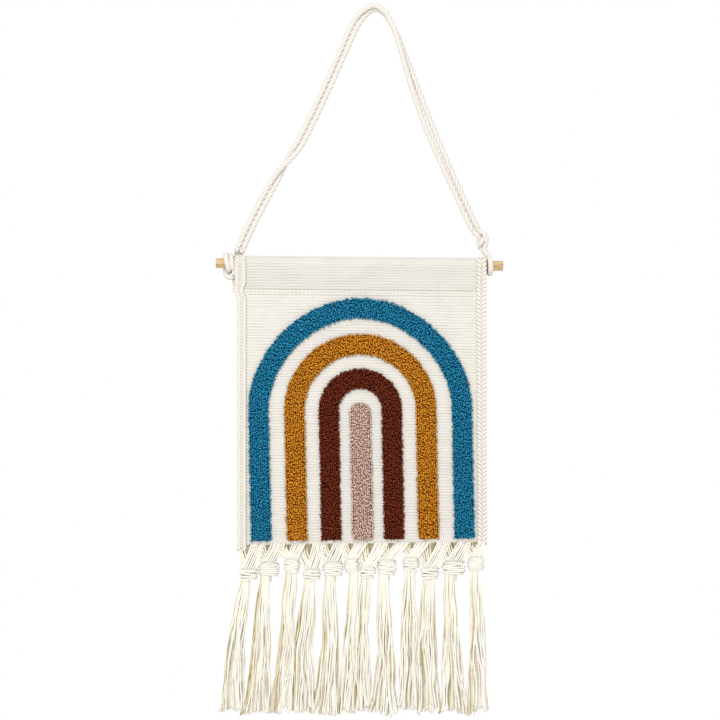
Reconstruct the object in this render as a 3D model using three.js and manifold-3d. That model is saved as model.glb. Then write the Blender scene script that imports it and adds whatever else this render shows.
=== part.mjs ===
// Tufted wall hanging on a wooden dowel.
// A woven cotton panel hangs from a dowel in its rod pocket. Nested arches of yarn pile stand on its front,
// a braid is sewn down each side, and its warp yarns end in twelve knotted tassels. A doubled twisted cord
// carries the dowel.
// Millimetres, +Z up, the front faces -Y. The origin is under the top of the cord, where a hook holds it.
import * as THREE from "three";
import { mergeVertices } from "three/addons/utils/BufferGeometryUtils.js";
import Module from "manifold-3d";

const wasm = await Module();
wasm.setup();

// Driving dimensions
const gap = 0.3; // between pieces that touch
const rod = { length: 287, radius: 5, edgeRound: 0.5, sides: 20, middleX: -15, middleZ: -254, slope: -0.01 };
const cloth = { thickness: 2.2, stitchDrop: 25.5, hemDepth: 7, hemThickness: 1.8, hemStep: 0.5 };
const pocket = { roomRadius: rod.radius + 0.4, arcSteps: 10, seamWidth: 0.2, cutBeyond: 20 };
const panel = { left: -137, right: 111.2, stations: 13 };
const folds = { depth: 0.7, width: 120, phase: 0.6, fullBelow: 160 }; // soft folds, at full depth so far down
const spreading = { reach: 0.8, drop: 250 }; // how far the right edge stands out, and over what drop
const pocketFlare = { reach: 2.6, fromZ: -288, toZ: -282 }; // the left edge stands out beside the pocket
const foot = { leftZ: -535.5, slope: 0.0125 }; // the panel's bottom edge
const braid = {
  width: 10.6, thickness: 2.4, overhang: 1, pitch: 4.2, stitchRise: 0.7, groove: 0.3, tipLength: 9,
  startAngle: 0.56 * Math.PI, // over the pocket's top, from the back towards the front
};
const pile = { height: 3.6, lump: 0.7, ragged: 0.8, spacing: 9.2, edgeShare: 0.65, overhang: 0.5 };
const arches = { middleX: -14.3, springZ: -399.5, footRise: 5.2, lean: 0.021 };
const cord = { diameter: 5.2, sides: 8, steps: 40 };
const wrap = { radius: 2.4, sides: 6, turnStep: 25, rodClearance: 0.5 };
const yarn = { sides: 3, rootRadius: 1.0, radius: 1.2, tipRadius: 1.4, waver: 0.4, tipWaver: 3 };
const legs = { radius: 1.5, perLeg: 3, pitch: 2.9, inset: 0.2, apart: 2.2, crossing: 1.2, fan: 2, setBack: 0.4 };
const knot = { sides: 8, taper: 0.45, groove: 0.9, yarnsEnter: 0.3 }; // shares of its size

// Where the two cord runs lie: the middle of the pair from the left hitch over the hook to the right knot,
// how far run A is turned from the outer side towards the front, and how far apart the runs are.
const cordRoute = [
  // x, z, turn in degrees, spread
  [-133.9, -237.6, -180, 5.6],
  [-124.0, -215.5, -180, 5.6],
  [-111.5, -191.5, -180, 5.6],
  [-101.5, -173.0, -160, 5.6],
  [-92.5, -158.5, -110, 6.0],
  [-85.0, -147.5, -55, 6.0],
  [-76.5, -135.5, -10, 5.6],
  [-68.0, -119.5, 0, 5.6],
  [-52.5, -87.5, 0, 5.6],
  [-38.0, -55.5, 0, 5.6],
  [-27.5, -31.5, 0, 5.6],
  [-20.0, -15.5, 0, 5.9],
  [-12.0, -4.0, 35, 5.9],
  [0.0, 3.0, 60, 5.6],
  [9.8, -2.0, 80, 5.6],
  [16.0, -11.5, 90, 5.6],
  [21.8, -23.5, 100, 5.6],
  [27.5, -39.5, 120, 5.6],
  [35.5, -63.5, 145, 5.7],
  [43.8, -87.5, 175, 6.2],
  [55.8, -119.5, 180, 7.0],
  [69.5, -151.5, 180, 6.4],
  [84.0, -183.5, 180, 5.8],
  [95.0, -207.5, 180, 5.7],
  [100.6, -218.5, 180, 5.6],
];

// The nested arches: half the width outside and inside, at the spring line.
const bands = [
  { name: "tuft_blue", outer: 112.2, inner: 91.0, color: 0x1f6f92 },
  { name: "tuft_mustard", outer: 76.4, inner: 55.0, color: 0xb87420 },
  { name: "tuft_brown", outer: 42.0, inner: 20.8, color: 0x5e2414 },
];
const middleBar = { name: "tuft_pink", halfWidth: 11.1, topZ: -392.5, color: 0xb89486 };

// The three ways of tying a tassel: low with its wraps drawn down to the left, wide and pushed to the right,
// and a round barrel.
const knotForms = {
  low: { wraps: 3, tilt: 14, depth: 13 },
  wide: { wraps: 3, tilt: -7, depth: 12.5 },
  barrel: { wraps: 4, tilt: 0, depth: 12.5 },
};

// One row for each tassel, from left to right.
const tassels = [
  // form, knot: x, z, width, height; yarns: neck left, right; middle left, right; tip left, right, z
  ["low", -126.0, -563.0, 18.0, 14.0, -136.0, -123.5, -147.0, -130.5, -153.5, -131.5, -702],
  ["wide", -105.6, -558.2, 19.6, 15.0, -115.5, -104.5, -121.5, -104.5, -129.5, -104.0, -704],
  ["barrel", -82.6, -555.2, 14.4, 15.5, -89.7, -76.7, -96.5, -80.4, -103.2, -83.8, -701],
  ["low", -62.6, -563.5, 16.6, 14.0, -71.5, -58.5, -79.6, -60.5, -83.0, -61.5, -703],
  ["wide", -41.6, -558.0, 19.8, 15.0, -50.5, -39.5, -53.5, -36.5, -60.7, -36.6, -704],
  ["barrel", -22.8, -554.8, 13.6, 15.3, -25.8, -15.4, -30.0, -18.2, -35.9, -20.1, -701],
  ["low", -7.0, -560.5, 14.6, 14.5, -14.6, -3.8, -17.4, -5.5, -19.3, -2.5, -702],
  ["wide", 12.3, -556.0, 18.4, 16.0, 3.0, 15.0, 2.5, 18.5, -1.6, 23.6, -704],
  ["barrel", 36.5, -553.4, 15.6, 14.5, 28.5, 41.5, 26.5, 42.5, 24.3, 43.2, -701],
  ["low", 55.4, -561.5, 17.6, 14.0, 47.5, 60.5, 43.8, 61.5, 44.0, 65.4, -702],
  ["wide", 78.9, -557.0, 22.8, 15.0, 68.5, 80.0, 69.0, 85.5, 66.2, 91.6, -704],
  ["barrel", 101.4, -553.0, 15.4, 15.0, 94.5, 107.5, 93.5, 110.5, 92.3, 114.8, -703],
].map(([form, x, z, width, height, neckL, neckR, midL, midR, tipL, tipR, tipZ]) => (
  { form, x, z, width, height, neckL, neckR, midL, midR, tipL, tipR, tipZ }));
const tasselMiddleZ = -634.5;
const yarnRows = [
  // depth across the bundle from front to back, number of yarns
  { depth: -2.9, count: 5 },
  { depth: 0, count: 6 },
  { depth: 2.9, count: 5 },
];

// Small helpers
const lerp = (from, to, t) => from + (to - from) * t;
const clamp01 = (t) => Math.min(1, Math.max(0, t));
const range = (count) => Array.from({ length: count }, (_, i) => i);
const point = (x, y, z) => new THREE.Vector3(x, y, z);

// A value from -1 to 1 that varies from place to place and is always the same for the same place.
function uneven(a, b = 0) {
  const wave = Math.sin(a * 12.9898 + b * 78.233) * 43758.5453;
  return 2 * (wave - Math.floor(wave)) - 1;
}

// A closed body through rings of the same point count. The ends are closed across, from each point to the
// one opposite.
function loft(rings) {
  const count = rings[0].length;
  const index = [];
  for (const r of range(rings.length - 1)) {
    for (const i of range(count)) {
      const a = r * count + i;
      const b = r * count + (i + 1) % count;
      index.push(a, b, b + count, a, b + count, a + count);
    }
  }
  const last = (rings.length - 1) * count;
  for (let low = 0, high = count - 1; low + 1 < high; low++, high--) {
    index.push(low + 1, low, high, last + low, last + low + 1, last + high);
    if (low + 1 < high - 1) {
      index.push(low + 1, high, high - 1, last + low + 1, last + high - 1, last + high);
    }
  }
  const corners = rings.flat();
  let volume = 0;
  for (let t = 0; t < index.length; t += 3) {
    const [a, b, c] = [corners[index[t]], corners[index[t + 1]], corners[index[t + 2]]];
    volume += a.dot(b.clone().cross(c));
  }
  const geometry = new THREE.BufferGeometry();
  geometry.setFromPoints(corners);
  geometry.setIndex(volume > 0 ? index : index.reverse());
  return geometry;
}

function roundShape(radius, sides) {
  const corners = range(sides).map((i) => {
    const angle = (2 * Math.PI * (i + 0.5)) / sides;
    return new THREE.Vector2(radius * Math.cos(angle), radius * Math.sin(angle));
  });
  return new THREE.Shape(corners);
}

function tube(points, radius, sides, steps) {
  const path = new THREE.CatmullRomCurve3(points, false, "centripetal");
  return new THREE.ExtrudeGeometry(roundShape(radius, sides), { steps, extrudePath: path });
}

// Joining and cutting closed bodies
function toSolid(geometry) {
  const bare = geometry.clone();
  bare.deleteAttribute("normal");
  bare.deleteAttribute("uv");
  const merged = mergeVertices(bare, 1e-4);
  return new wasm.Manifold(new wasm.Mesh({
    numProp: 3,
    vertProperties: new Float32Array(merged.attributes.position.array),
    triVerts: new Uint32Array(merged.index.array),
  }));
}

function toGeometry(solid) {
  const mesh = solid.getMesh();
  const geometry = new THREE.BufferGeometry();
  geometry.setAttribute("position", new THREE.BufferAttribute(mesh.vertProperties, 3));
  geometry.setIndex(new THREE.BufferAttribute(mesh.triVerts, 1));
  return geometry;
}

function join(geometries) {
  const [first, ...others] = geometries.map(toSolid);
  return toGeometry(others.reduce((whole, piece) => whole.add(piece), first));
}

// Places that several pieces share
const rodZ = (x) => rod.middleZ + rod.slope * (x - rod.middleX);
const stitchZ = (x) => rodZ(x) - cloth.stitchDrop;
const footZ = (x) => foot.leftZ + foot.slope * (x - panel.left);
const flare = (z) => pocketFlare.reach * clamp01((z - pocketFlare.fromZ) / (pocketFlare.toZ - pocketFlare.fromZ));
const leftEdge = (z) => panel.left - flare(z);
const rightEdge = (z) => (
  panel.right + spreading.reach * clamp01((stitchZ(panel.right) - z) / spreading.drop));

// How far the hanging cloth swings back in soft folds, more towards its foot.
function fold(x, z) {
  const fall = clamp01((stitchZ(x) - z) / folds.fullBelow);
  return folds.depth * fall * Math.sin((2 * Math.PI * (x - panel.left)) / folds.width + folds.phase);
}

const frontY = (x, z) => fold(x, z) - cloth.thickness / 2;

// The angles, seen along X, at which straight cloth leaves the round of the pocket for the stitch line.
function pocketArc(radius, drop, side) {
  const leave = Math.acos(radius / Math.hypot(side, drop));
  const down = Math.atan2(-drop, -side);
  return range(pocket.arcSteps + 1).map((i) => {
    const angle = lerp(down - leave, down + leave - 2 * Math.PI, i / pocket.arcSteps);
    return { y: radius * Math.cos(angle), z: radius * Math.sin(angle) };
  });
}

// The panel's cloth, with its rod pocket and the hem stitched down behind
function panelGeometry() {
  const half = cloth.thickness / 2;
  const outerRadius = pocket.roomRadius + cloth.thickness;
  const arc = pocketArc(outerRadius, cloth.stitchDrop, half);
  const levels = [0, 0.2, 0.4, 0.6, 0.8];
  const rings = range(panel.stations).map((station) => {
    const across = station / (panel.stations - 1);
    const at = (z) => lerp(leftEdge(z), rightEdge(z), across);
    const nominal = lerp(panel.left, panel.right, across);
    const hemZ = stitchZ(nominal) - cloth.hemDepth;
    const heights = levels.map((t) => lerp(footZ(nominal), hemZ, t));
    const front = [...heights, hemZ - cloth.hemStep, hemZ, stitchZ(nominal)];
    const backThickness = front.map((z) => (z >= hemZ ? half + cloth.hemThickness : half));
    return [
      ...front.map((z) => point(at(z), fold(at(z), z) - half, z)),
      ...arc.map(({ y, z }) => point(at(rodZ(nominal) + z), y, rodZ(nominal) + z)),
      ...front.map((z, i) => point(at(z), fold(at(z), z) + backThickness[i], z)).reverse(),
    ];
  });
  const room = [panel.left - pocket.cutBeyond, panel.right + pocket.cutBeyond].map((x) => {
    const arcInside = pocketArc(pocket.roomRadius, cloth.stitchDrop - cloth.thickness, pocket.seamWidth);
    const seam = point(x, cloth.hemThickness / 2, stitchZ(x) + cloth.thickness);
    return [...arcInside.map(({ y, z }) => point(x, y, rodZ(x) + z)), seam];
  });
  return toGeometry(toSolid(loft(rings)).subtract(toSolid(loft(room))));
}

// Where a braid runs: down the front of the pocket and then of the hanging cloth
function braidLine(x, bottomZ) {
  const radius = pocket.roomRadius + cloth.thickness;
  const leaveAt = pocketArc(radius, cloth.stitchDrop, cloth.thickness / 2)[0];
  const leave = 2 * Math.PI + Math.atan2(leaveAt.z, leaveAt.y);
  const line = [];
  const arcLength = (leave - braid.startAngle) * (radius + gap + braid.thickness);
  const arcCount = Math.ceil(arcLength / braid.pitch);
  for (const i of range(arcCount)) {
    const angle = lerp(braid.startAngle, leave, i / arcCount);
    line.push({ y: radius * Math.cos(angle), z: rodZ(x) + radius * Math.sin(angle), angle });
  }
  const slopeEnd = { y: -cloth.thickness / 2, z: stitchZ(x) };
  const slopeStart = { y: leaveAt.y, z: rodZ(x) + leaveAt.z };
  const slopeLength = Math.hypot(slopeEnd.y - slopeStart.y, slopeEnd.z - slopeStart.z);
  const slopeCount = Math.round(slopeLength / braid.pitch);
  for (const i of range(slopeCount)) {
    const t = i / slopeCount;
    line.push({ y: lerp(slopeStart.y, slopeEnd.y, t), z: lerp(slopeStart.z, slopeEnd.z, t), angle: leave });
  }
  const fallCount = Math.round((stitchZ(x) - bottomZ) / braid.pitch);
  for (const i of range(fallCount + 1)) {
    const z = lerp(stitchZ(x), bottomZ, i / fallCount);
    line.push({ z, angle: Math.PI, hangs: true });
  }
  return line;
}

// A braid sewn along a side edge: its stitches stand up in turn on the outer and the inner half.
function braidGeometry(edge, inward, bottomZ) {
  const line = braidLine(edge(bottomZ), bottomZ);
  const rings = line.map(({ y, z, angle, hangs }, i) => {
    const outside = edge(z) - inward * braid.overhang;
    const taper = clamp01((i + 1.2) * braid.pitch / braid.tipLength);
    const middle = outside + inward * braid.width / 2;
    const normal = { y: Math.cos(angle), z: Math.sin(angle) };
    const corner = (across, rise) => {
      const x = lerp(middle, outside + inward * braid.width * across, taper);
      const clothY = hangs ? frontY(x, z) : y;
      return point(x, clothY + normal.y * (gap + rise), z + normal.z * (gap + rise));
    };
    const raised = braid.thickness;
    const low = braid.thickness - braid.stitchRise;
    const odd = i % 2 === 1;
    return [
      corner(0, 0),
      corner(0.02, odd ? low : raised),
      corner(0.5, low - braid.groove),
      corner(0.96, odd ? raised : low),
      corner(1, 0),
    ];
  });
  return loft(rings);
}

// A band of pile: lumps on top and a ragged edge, standing on the cloth
function pileGeometry(stations, seed) {
  const rings = stations.map(({ x, z, outX, outZ, halfWidth }, i) => {
    const corner = (across, rise) => {
      const px = x + outX * across;
      const pz = z + outZ * across;
      return point(px, frontY(px, pz) - gap - rise, pz);
    };
    const edgeOut = halfWidth + pile.ragged * uneven(i, seed);
    const edgeIn = -halfWidth - pile.ragged * uneven(i, seed + 3);
    const rise = (column) => pile.height + pile.lump * uneven(i, seed + 5 + column);
    return [
      corner(edgeOut - pile.overhang, 0),
      corner(edgeOut, pile.edgeShare * rise(0)),
      corner(0.4 * halfWidth, rise(1)),
      corner(-0.4 * halfWidth, rise(2)),
      corner(edgeIn, pile.edgeShare * rise(3)),
      corner(edgeIn + pile.overhang, 0),
    ];
  });
  return loft(rings);
}

const pileFootZ = (x) => footZ(x) + arches.footRise;
const leanAt = (z) => arches.lean * Math.max(0, arches.springZ - z);

function archStations({ outer, inner }) {
  const radius = (outer + inner) / 2;
  const halfWidth = (outer - inner) / 2;
  const leg = (side) => {
    const bottom = pileFootZ(arches.middleX + side * radius);
    const count = Math.round((arches.springZ - bottom) / pile.spacing);
    return range(count).map((i) => {
      const z = lerp(bottom, arches.springZ, i / count);
      return { x: arches.middleX + side * radius + leanAt(z), z, outX: side, outZ: 0, halfWidth };
    });
  };
  const turns = Math.round((Math.PI * radius) / pile.spacing);
  const round = range(turns + 1).map((i) => {
    const angle = Math.PI * (1 - i / turns);
    const outX = Math.cos(angle);
    const outZ = Math.sin(angle);
    return { x: arches.middleX + radius * outX, z: arches.springZ + radius * outZ, outX, outZ, halfWidth };
  });
  return [...leg(-1), ...round, ...leg(1).reverse()];
}

function barStations({ halfWidth, topZ }) {
  const bottom = pileFootZ(arches.middleX);
  const roundZ = topZ - halfWidth;
  const count = Math.round((roundZ - bottom) / pile.spacing);
  const straight = range(count).map((i) => ({ z: lerp(bottom, roundZ, i / count), halfWidth }));
  const crown = [0, 30, 55, 75].map((degrees) => {
    const angle = THREE.MathUtils.degToRad(degrees);
    return { z: roundZ + halfWidth * Math.sin(angle), halfWidth: halfWidth * Math.cos(angle) };
  });
  return [...straight, ...crown].map((station) => (
    { ...station, x: arches.middleX + leanAt(station.z), outX: 1, outZ: 0 }));
}

// The dowel, with softened end edges
function rodGeometry() {
  const half = rod.length / 2;
  const profile = [
    [0, -half], [rod.radius - rod.edgeRound, -half], [rod.radius, rod.edgeRound - half],
    [rod.radius, half - rod.edgeRound], [rod.radius - rod.edgeRound, half], [0, half],
  ].map(([r, along]) => new THREE.Vector2(r, along));
  const geometry = new THREE.LatheGeometry(profile, rod.sides);
  geometry.rotateZ(-Math.PI / 2);
  geometry.rotateY(-Math.atan(rod.slope));
  return geometry;
}

// The two cord runs
function cordPoints(side) {
  return cordRoute.map(([x, z, turn, spread], i) => {
    const before = cordRoute[Math.max(0, i - 1)];
    const after = cordRoute[Math.min(cordRoute.length - 1, i + 1)];
    const along = new THREE.Vector2(after[0] - before[0], after[1] - before[1]).normalize();
    const angle = THREE.MathUtils.degToRad(turn);
    const outward = side * (spread / 2) * Math.cos(angle);
    const forward = side * (spread / 2) * Math.sin(angle);
    return point(x - along.y * outward, -forward, z + along.x * outward);
  });
}

// Two points that lead straight on from the end of a run
function leadOn(side, atStart) {
  const path = new THREE.CatmullRomCurve3(cordPoints(side), false, "centripetal");
  const t = atStart ? 0 : 1;
  const onward = path.getTangent(t).multiplyScalar(atStart ? -1 : 1);
  const end = path.getPoint(t);
  return [gap, gap + 2].map((reach) => end.clone().addScaledVector(onward, reach));
}

const cordGeometry = (side) => tube(cordPoints(side), cord.diameter / 2, cord.sides, cord.steps);

// A turn of cord round the dowel. Each stop: x, degrees round from the top towards the front.
function aroundRod(stops) {
  const ringRadius = rod.radius + wrap.rodClearance + wrap.radius;
  const places = stops.slice(1).flatMap(([x, degrees], i) => {
    const [lastX, lastDegrees] = stops[i];
    const parts = Math.ceil((degrees - lastDegrees) / wrap.turnStep);
    return range(parts).map((n) => [lerp(lastX, x, n / parts), lerp(lastDegrees, degrees, n / parts)]);
  });
  return [...places, stops.at(-1)].map(([x, degrees]) => {
    const angle = THREE.MathUtils.degToRad(degrees);
    return point(x, -ringRadius * Math.sin(angle), rodZ(x) + ringRadius * Math.cos(angle));
  });
}

// The hitch round the dowel's left end: the runs pass behind the pocket's corner, the cord goes round the
// dowel, and its tail hangs beside the pocket.
function hitchGeometry() {
  const behind = (side) => {
    const start = leadOn(side, true);
    const lag = start[0].x > cordRoute[0][0] ? 2.4 : -1.4;
    return [
      ...start,
      point(-136.6 + lag, 5.2, -243.2),
      point(-138.4 + lag, 9.2, -247.4),
      point(-141.0 + lag / 2, 10.8, -252.4),
      point(-144.6, 8.2, -255.8),
    ];
  };
  const turn = aroundRod([
    [-147.2, -60], [-147.6, 0], [-146.6, 60], [-145.2, 110], [-144.0, 160], [-144.2, 210], [-145.4, 270],
  ]);
  const lowLoop = [
    point(-147.8, 7.2, -255.8), point(-149.2, 4.0, -260.6), point(-146.8, 0.2, -265.4),
    point(-143.0, -3.0, -266.4), point(-142.9, -6.0, -262.0), point(-144.0, -7.6, -258.2),
  ];
  const tail = [
    point(-143.2, -2.0, -266.0), point(-142.8, -1.6, -272.0), point(-142.6, -1.2, -276.5),
    point(-142.3, -1.0, -281.0),
  ];
  return join([
    tube(behind(1), wrap.radius, wrap.sides, 8),
    tube(behind(-1), wrap.radius, wrap.sides, 8),
    tube(turn, wrap.radius, wrap.sides, 14),
    tube(lowLoop, wrap.radius * 0.85, wrap.sides, 10),
    tube(tail, wrap.radius * 0.58, wrap.sides - 1, 4),
  ]);
}

// The overhand knot above the dowel's right end, and its loop round the dowel
function knotGeometry() {
  const turn = aroundRod([
    [114.6, -30], [114.6, 20], [115.7, 75], [115.9, 110], [115.3, 170], [115.1, 230], [115.0, 300], [114.8, 345],
  ]);
  const neck = [point(108.6, -0.6, -238.0), point(111.0, -0.8, -242.0), point(114.2, -0.8, -246.2)];
  const rightLobe = [
    point(104.4, -1.6, -221.6), point(108.6, -2.6, -222.4), point(111.3, -2.6, -227.6),
    point(110.9, -1.8, -234.0), point(108.2, 0, -239.6),
  ];
  const leftLobe = [
    point(105.2, 2.2, -224.2), point(104.6, 2.0, -231.0), point(106.0, 0.8, -236.6), point(110.0, -0.4, -241.8),
  ];
  const overTurn = [
    point(111.0, 1.0, -226.4), point(108.4, -4.6, -229.4), point(105.4, -4.4, -233.6), point(105.2, 1.4, -237.4),
  ];
  const lead = (side, x) => [...leadOn(side, false), point(x, side * -1.2, -225.2), point(107.0, 0, -230.0)];
  return join([
    tube(neck, wrap.radius, wrap.sides, 4),
    tube(turn, wrap.radius, wrap.sides, 16),
    tube(rightLobe, wrap.radius, wrap.sides, 8),
    tube(leftLobe, wrap.radius * 0.95, wrap.sides, 6),
    tube(overTurn, wrap.radius * 0.85, wrap.sides, 6),
    tube(lead(1, 103.6), wrap.radius * 0.9, wrap.sides, 4),
    tube(lead(-1, 106.4), wrap.radius * 0.9, wrap.sides, 4),
  ]);
}

// A tassel's knot: turns of yarn wound round it stand up as rounds, tilted as they were drawn tight.
function knotHeadGeometry({ form, x, z, width, height }) {
  const { wraps, tilt, depth } = knotForms[form];
  const lean = THREE.MathUtils.degToRad(tilt);
  const rings = range(2 * wraps + 1).map((level) => {
    const rise = level / wraps - 1;
    const swell = Math.sqrt(1 - knot.taper * rise * rise) * (level % 2 === 1 ? 1 : knot.groove);
    return range(knot.sides).map((i) => {
      const angle = (2 * Math.PI * i) / knot.sides;
      const across = (width / 2) * swell * Math.cos(angle);
      const up = (height / 2) * rise;
      return point(
        x + across * Math.cos(lean) + up * Math.sin(lean),
        (depth / 2) * swell * Math.sin(angle),
        z + up * Math.cos(lean) - across * Math.sin(lean),
      );
    });
  });
  return loft(rings);
}

// One yarn, through its route points, with a radius at each
function yarnGeometry(route, radii, twist) {
  const rings = route.map((centre, stop) => range(yarn.sides).map((i) => {
    const angle = twist + (2 * Math.PI * i) / yarn.sides;
    const radius = radii[stop];
    return point(centre.x + radius * Math.cos(angle), centre.y + radius * Math.sin(angle), centre.z);
  }));
  return loft(rings);
}

// The warp yarns that lead from the panel's bottom edge down into a knot, in a left and a right leg
function legGeometries(tassel, lane) {
  const legWidth = legs.perLeg * legs.pitch;
  const starts = [lane.left + legs.inset, lane.right - legs.inset - legWidth];
  return starts.flatMap((start, leg) => range(legs.perLeg).map((i) => {
    const top = start + (i + 0.5) * legs.pitch;
    const spread = (i - (legs.perLeg - 1) / 2) * legs.fan;
    const side = leg === 0 ? -1 : 1;
    const topZ = footZ(top) - gap;
    const endX = tassel.x + side * legs.apart + spread;
    return yarnGeometry([
      point(top, fold(top, topZ) + legs.setBack, topZ),
      point(endX, -side * legs.crossing, tassel.z + tassel.height * knot.yarnsEnter),
    ], [legs.radius, legs.radius], Math.PI / 6 + i);
  }));
}

// The hanging yarns of a tassel, from inside its knot to its cut tips
function hangingYarnGeometries(tassel, seed) {
  return yarnRows.flatMap(({ depth, count }, row) => range(count).map((i) => {
    const u = (i + 0.5) / count;
    const key = seed * 31 + row * 7 + i;
    const across = (left, right, number) => (
      lerp(left + yarn.radius, right - yarn.radius, u) + yarn.waver * uneven(key, number));
    const rootX = lerp(tassel.x, lerp(tassel.neckL + yarn.radius, tassel.neckR - yarn.radius, u), 0.85);
    const middleY = depth + yarn.waver * uneven(key, 2);
    const tipZ = tassel.tipZ + yarn.tipWaver * uneven(key, 6);
    return yarnGeometry([
      point(rootX, depth, tassel.z - tassel.height * knot.yarnsEnter),
      point(across(tassel.midL, tassel.midR, 0), middleY, tasselMiddleZ),
      point(across(tassel.tipL, tassel.tipR, 4), depth * 1.2, tipZ),
    ], [yarn.rootRadius, yarn.radius, yarn.tipRadius], key);
  }));
}

function tasselGeometry(tassel, number) {
  const laneWidth = (panel.right - panel.left) / tassels.length;
  const lane = { left: panel.left + laneWidth * number, right: panel.left + laneWidth * (number + 1) };
  return join([
    knotHeadGeometry(tassel),
    ...legGeometries(tassel, lane),
    ...hangingYarnGeometries(tassel, number),
  ]);
}

// The scene graph
const hanging = new THREE.Group();

function place(name, geometry, color, roughness) {
  const material = new THREE.MeshStandardMaterial({ color, roughness, metalness: 0 });
  const mesh = new THREE.Mesh(geometry, material);
  mesh.name = name;
  hanging.add(mesh);
  return mesh;
}

const cotton = { cloth: 0xefe9df, yarn: 0xf2ecdf, cord: 0xefe7dc, wood: 0xdcbd8c };

place("panel", panelGeometry(), cotton.cloth, 0.95);
place("edge_braid_left", braidGeometry(leftEdge, 1, footZ(panel.left) - 5), cotton.yarn, 0.95);
place("edge_braid_right", braidGeometry(rightEdge, -1, footZ(panel.right) - 2), cotton.yarn, 0.95);
bands.forEach((band, i) => place(band.name, pileGeometry(archStations(band), 11 * i + 1), band.color, 1));
place(middleBar.name, pileGeometry(barStations(middleBar), 41), middleBar.color, 1);
const dowel = place("dowel", rodGeometry(), cotton.wood, 0.6);
dowel.position.set(rod.middleX, 0, rod.middleZ);
place("hanger_strand_a", cordGeometry(1), cotton.cord, 0.9);
place("hanger_strand_b", cordGeometry(-1), cotton.cord, 0.9);
place("hitch_left", hitchGeometry(), cotton.cord, 0.9);
place("knot_right", knotGeometry(), cotton.cord, 0.9);
tassels.forEach((tassel, i) => {
  const name = `tassel_${String(i + 1).padStart(2, "0")}`;
  place(name, tasselGeometry(tassel, i), cotton.yarn, 0.95);
});

export default hanging;
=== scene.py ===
import math
import random

import bmesh
import bpy
import numpy as np
from bpy.props import FloatProperty, FloatVectorProperty, IntProperty, PointerProperty
from mathutils import Matrix, Vector, noise


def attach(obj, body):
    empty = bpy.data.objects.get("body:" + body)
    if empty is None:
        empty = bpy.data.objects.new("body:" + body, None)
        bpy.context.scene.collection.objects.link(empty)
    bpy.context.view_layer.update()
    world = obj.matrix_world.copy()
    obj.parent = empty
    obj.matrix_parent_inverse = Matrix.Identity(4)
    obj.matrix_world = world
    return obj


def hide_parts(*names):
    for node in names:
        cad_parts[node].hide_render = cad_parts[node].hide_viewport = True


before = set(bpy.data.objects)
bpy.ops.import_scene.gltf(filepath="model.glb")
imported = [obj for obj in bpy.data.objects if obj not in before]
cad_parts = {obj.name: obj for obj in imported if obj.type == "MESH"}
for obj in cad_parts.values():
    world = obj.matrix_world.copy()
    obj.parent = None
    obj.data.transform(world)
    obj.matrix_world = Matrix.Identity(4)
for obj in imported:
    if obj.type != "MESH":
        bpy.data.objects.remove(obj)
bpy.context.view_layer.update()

bl_info = {
    "name": "Tufted wall hanging",
    "version": (1, 0, 0),
    "blender": (4, 5, 0),
    "location": "3D View > Sidebar > Hanging",
    "description": "Dresses a wall hanging in woven cloth, looped pile, edging, cord and knotted yarn",
    "category": "Object",
}

MM = 0.001
GAP = 0.3  # between pieces that touch

ROD = {"length": 287.0, "radius": 5.0, "middle_x": -15.0, "middle_z": -254.0, "slope": -0.01}
CLOTH = {
    "left": -137.0, "right": 111.2,
    "half": 1.1,  # half the thickness of its solid
    "sheet": 2.0,  # its thickness here
    "stitch_drop": 25.5,  # from the rod's middle down to the pocket's seam
    "pocket": 7.6,  # the radius of its outside where it goes round the rod
    "hem": 7.0, "hem_y": 2.9,  # how long the hem is, and how far behind its outside lies
}
POCKET_FLARE = {"reach": 2.6, "from_z": -288.0, "over": 6.0}  # the left edge stands out beside the pocket
SPREADING = {"reach": 0.8, "over": 250.0}  # the right edge stands out towards the foot
FOLDS = {"depth": 0.7, "width": 120.0, "phase": 0.6, "full_below": 160.0}  # soft, deeper towards the foot
FOOT = {"left_z": -535.5, "slope": 0.0125}  # the panel's bottom edge
ARCHES = {"middle_x": -14.3, "spring_z": -399.5, "foot_rise": 5.2, "lean": 0.021}

# Half the width of each band outside and inside, at the spring line, and how far its shoulders are drawn in
BANDS = {
    "blue": (112.2, 91.0, 1.8),
    "mustard": (76.4, 55.0, 0.3),
    "brown": (42.0, 20.8, 0.0),
}
PINK_BAR = {"half_width": 11.1, "top_z": -392.5}

# Where the two cord runs lie: the middle of the pair, how far run A is turned from the outer side towards
# the front, and how far apart the runs are
CORD_ROUTE = [
    # x, z, turn in degrees, spread
    (-133.9, -237.6, -180, 5.6),
    (-124.0, -215.5, -180, 5.6),
    (-111.5, -191.5, -180, 5.6),
    (-101.5, -173.0, -160, 5.6),
    (-92.5, -158.5, -110, 6.0),
    (-85.0, -147.5, -55, 6.0),
    (-76.5, -135.5, -10, 5.6),
    (-68.0, -119.5, 0, 5.6),
    (-52.5, -87.5, 0, 5.6),
    (-38.0, -55.5, 0, 5.6),
    (-27.5, -31.5, 0, 5.6),
    (-20.0, -15.5, 0, 5.9),
    (-12.0, -4.0, 35, 5.9),
    (0.0, 3.0, 60, 5.6),
    (9.8, -2.0, 80, 5.6),
    (16.0, -11.5, 90, 5.6),
    (21.8, -23.5, 100, 5.6),
    (27.5, -39.5, 120, 5.6),
    (35.5, -63.5, 145, 5.7),
    (43.8, -87.5, 175, 6.2),
    (55.8, -119.5, 180, 7.0),
    (69.5, -151.5, 180, 6.4),
    (84.0, -183.5, 180, 5.8),
    (95.0, -207.5, 180, 5.7),
    (100.6, -218.5, 180, 5.6),
]

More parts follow.
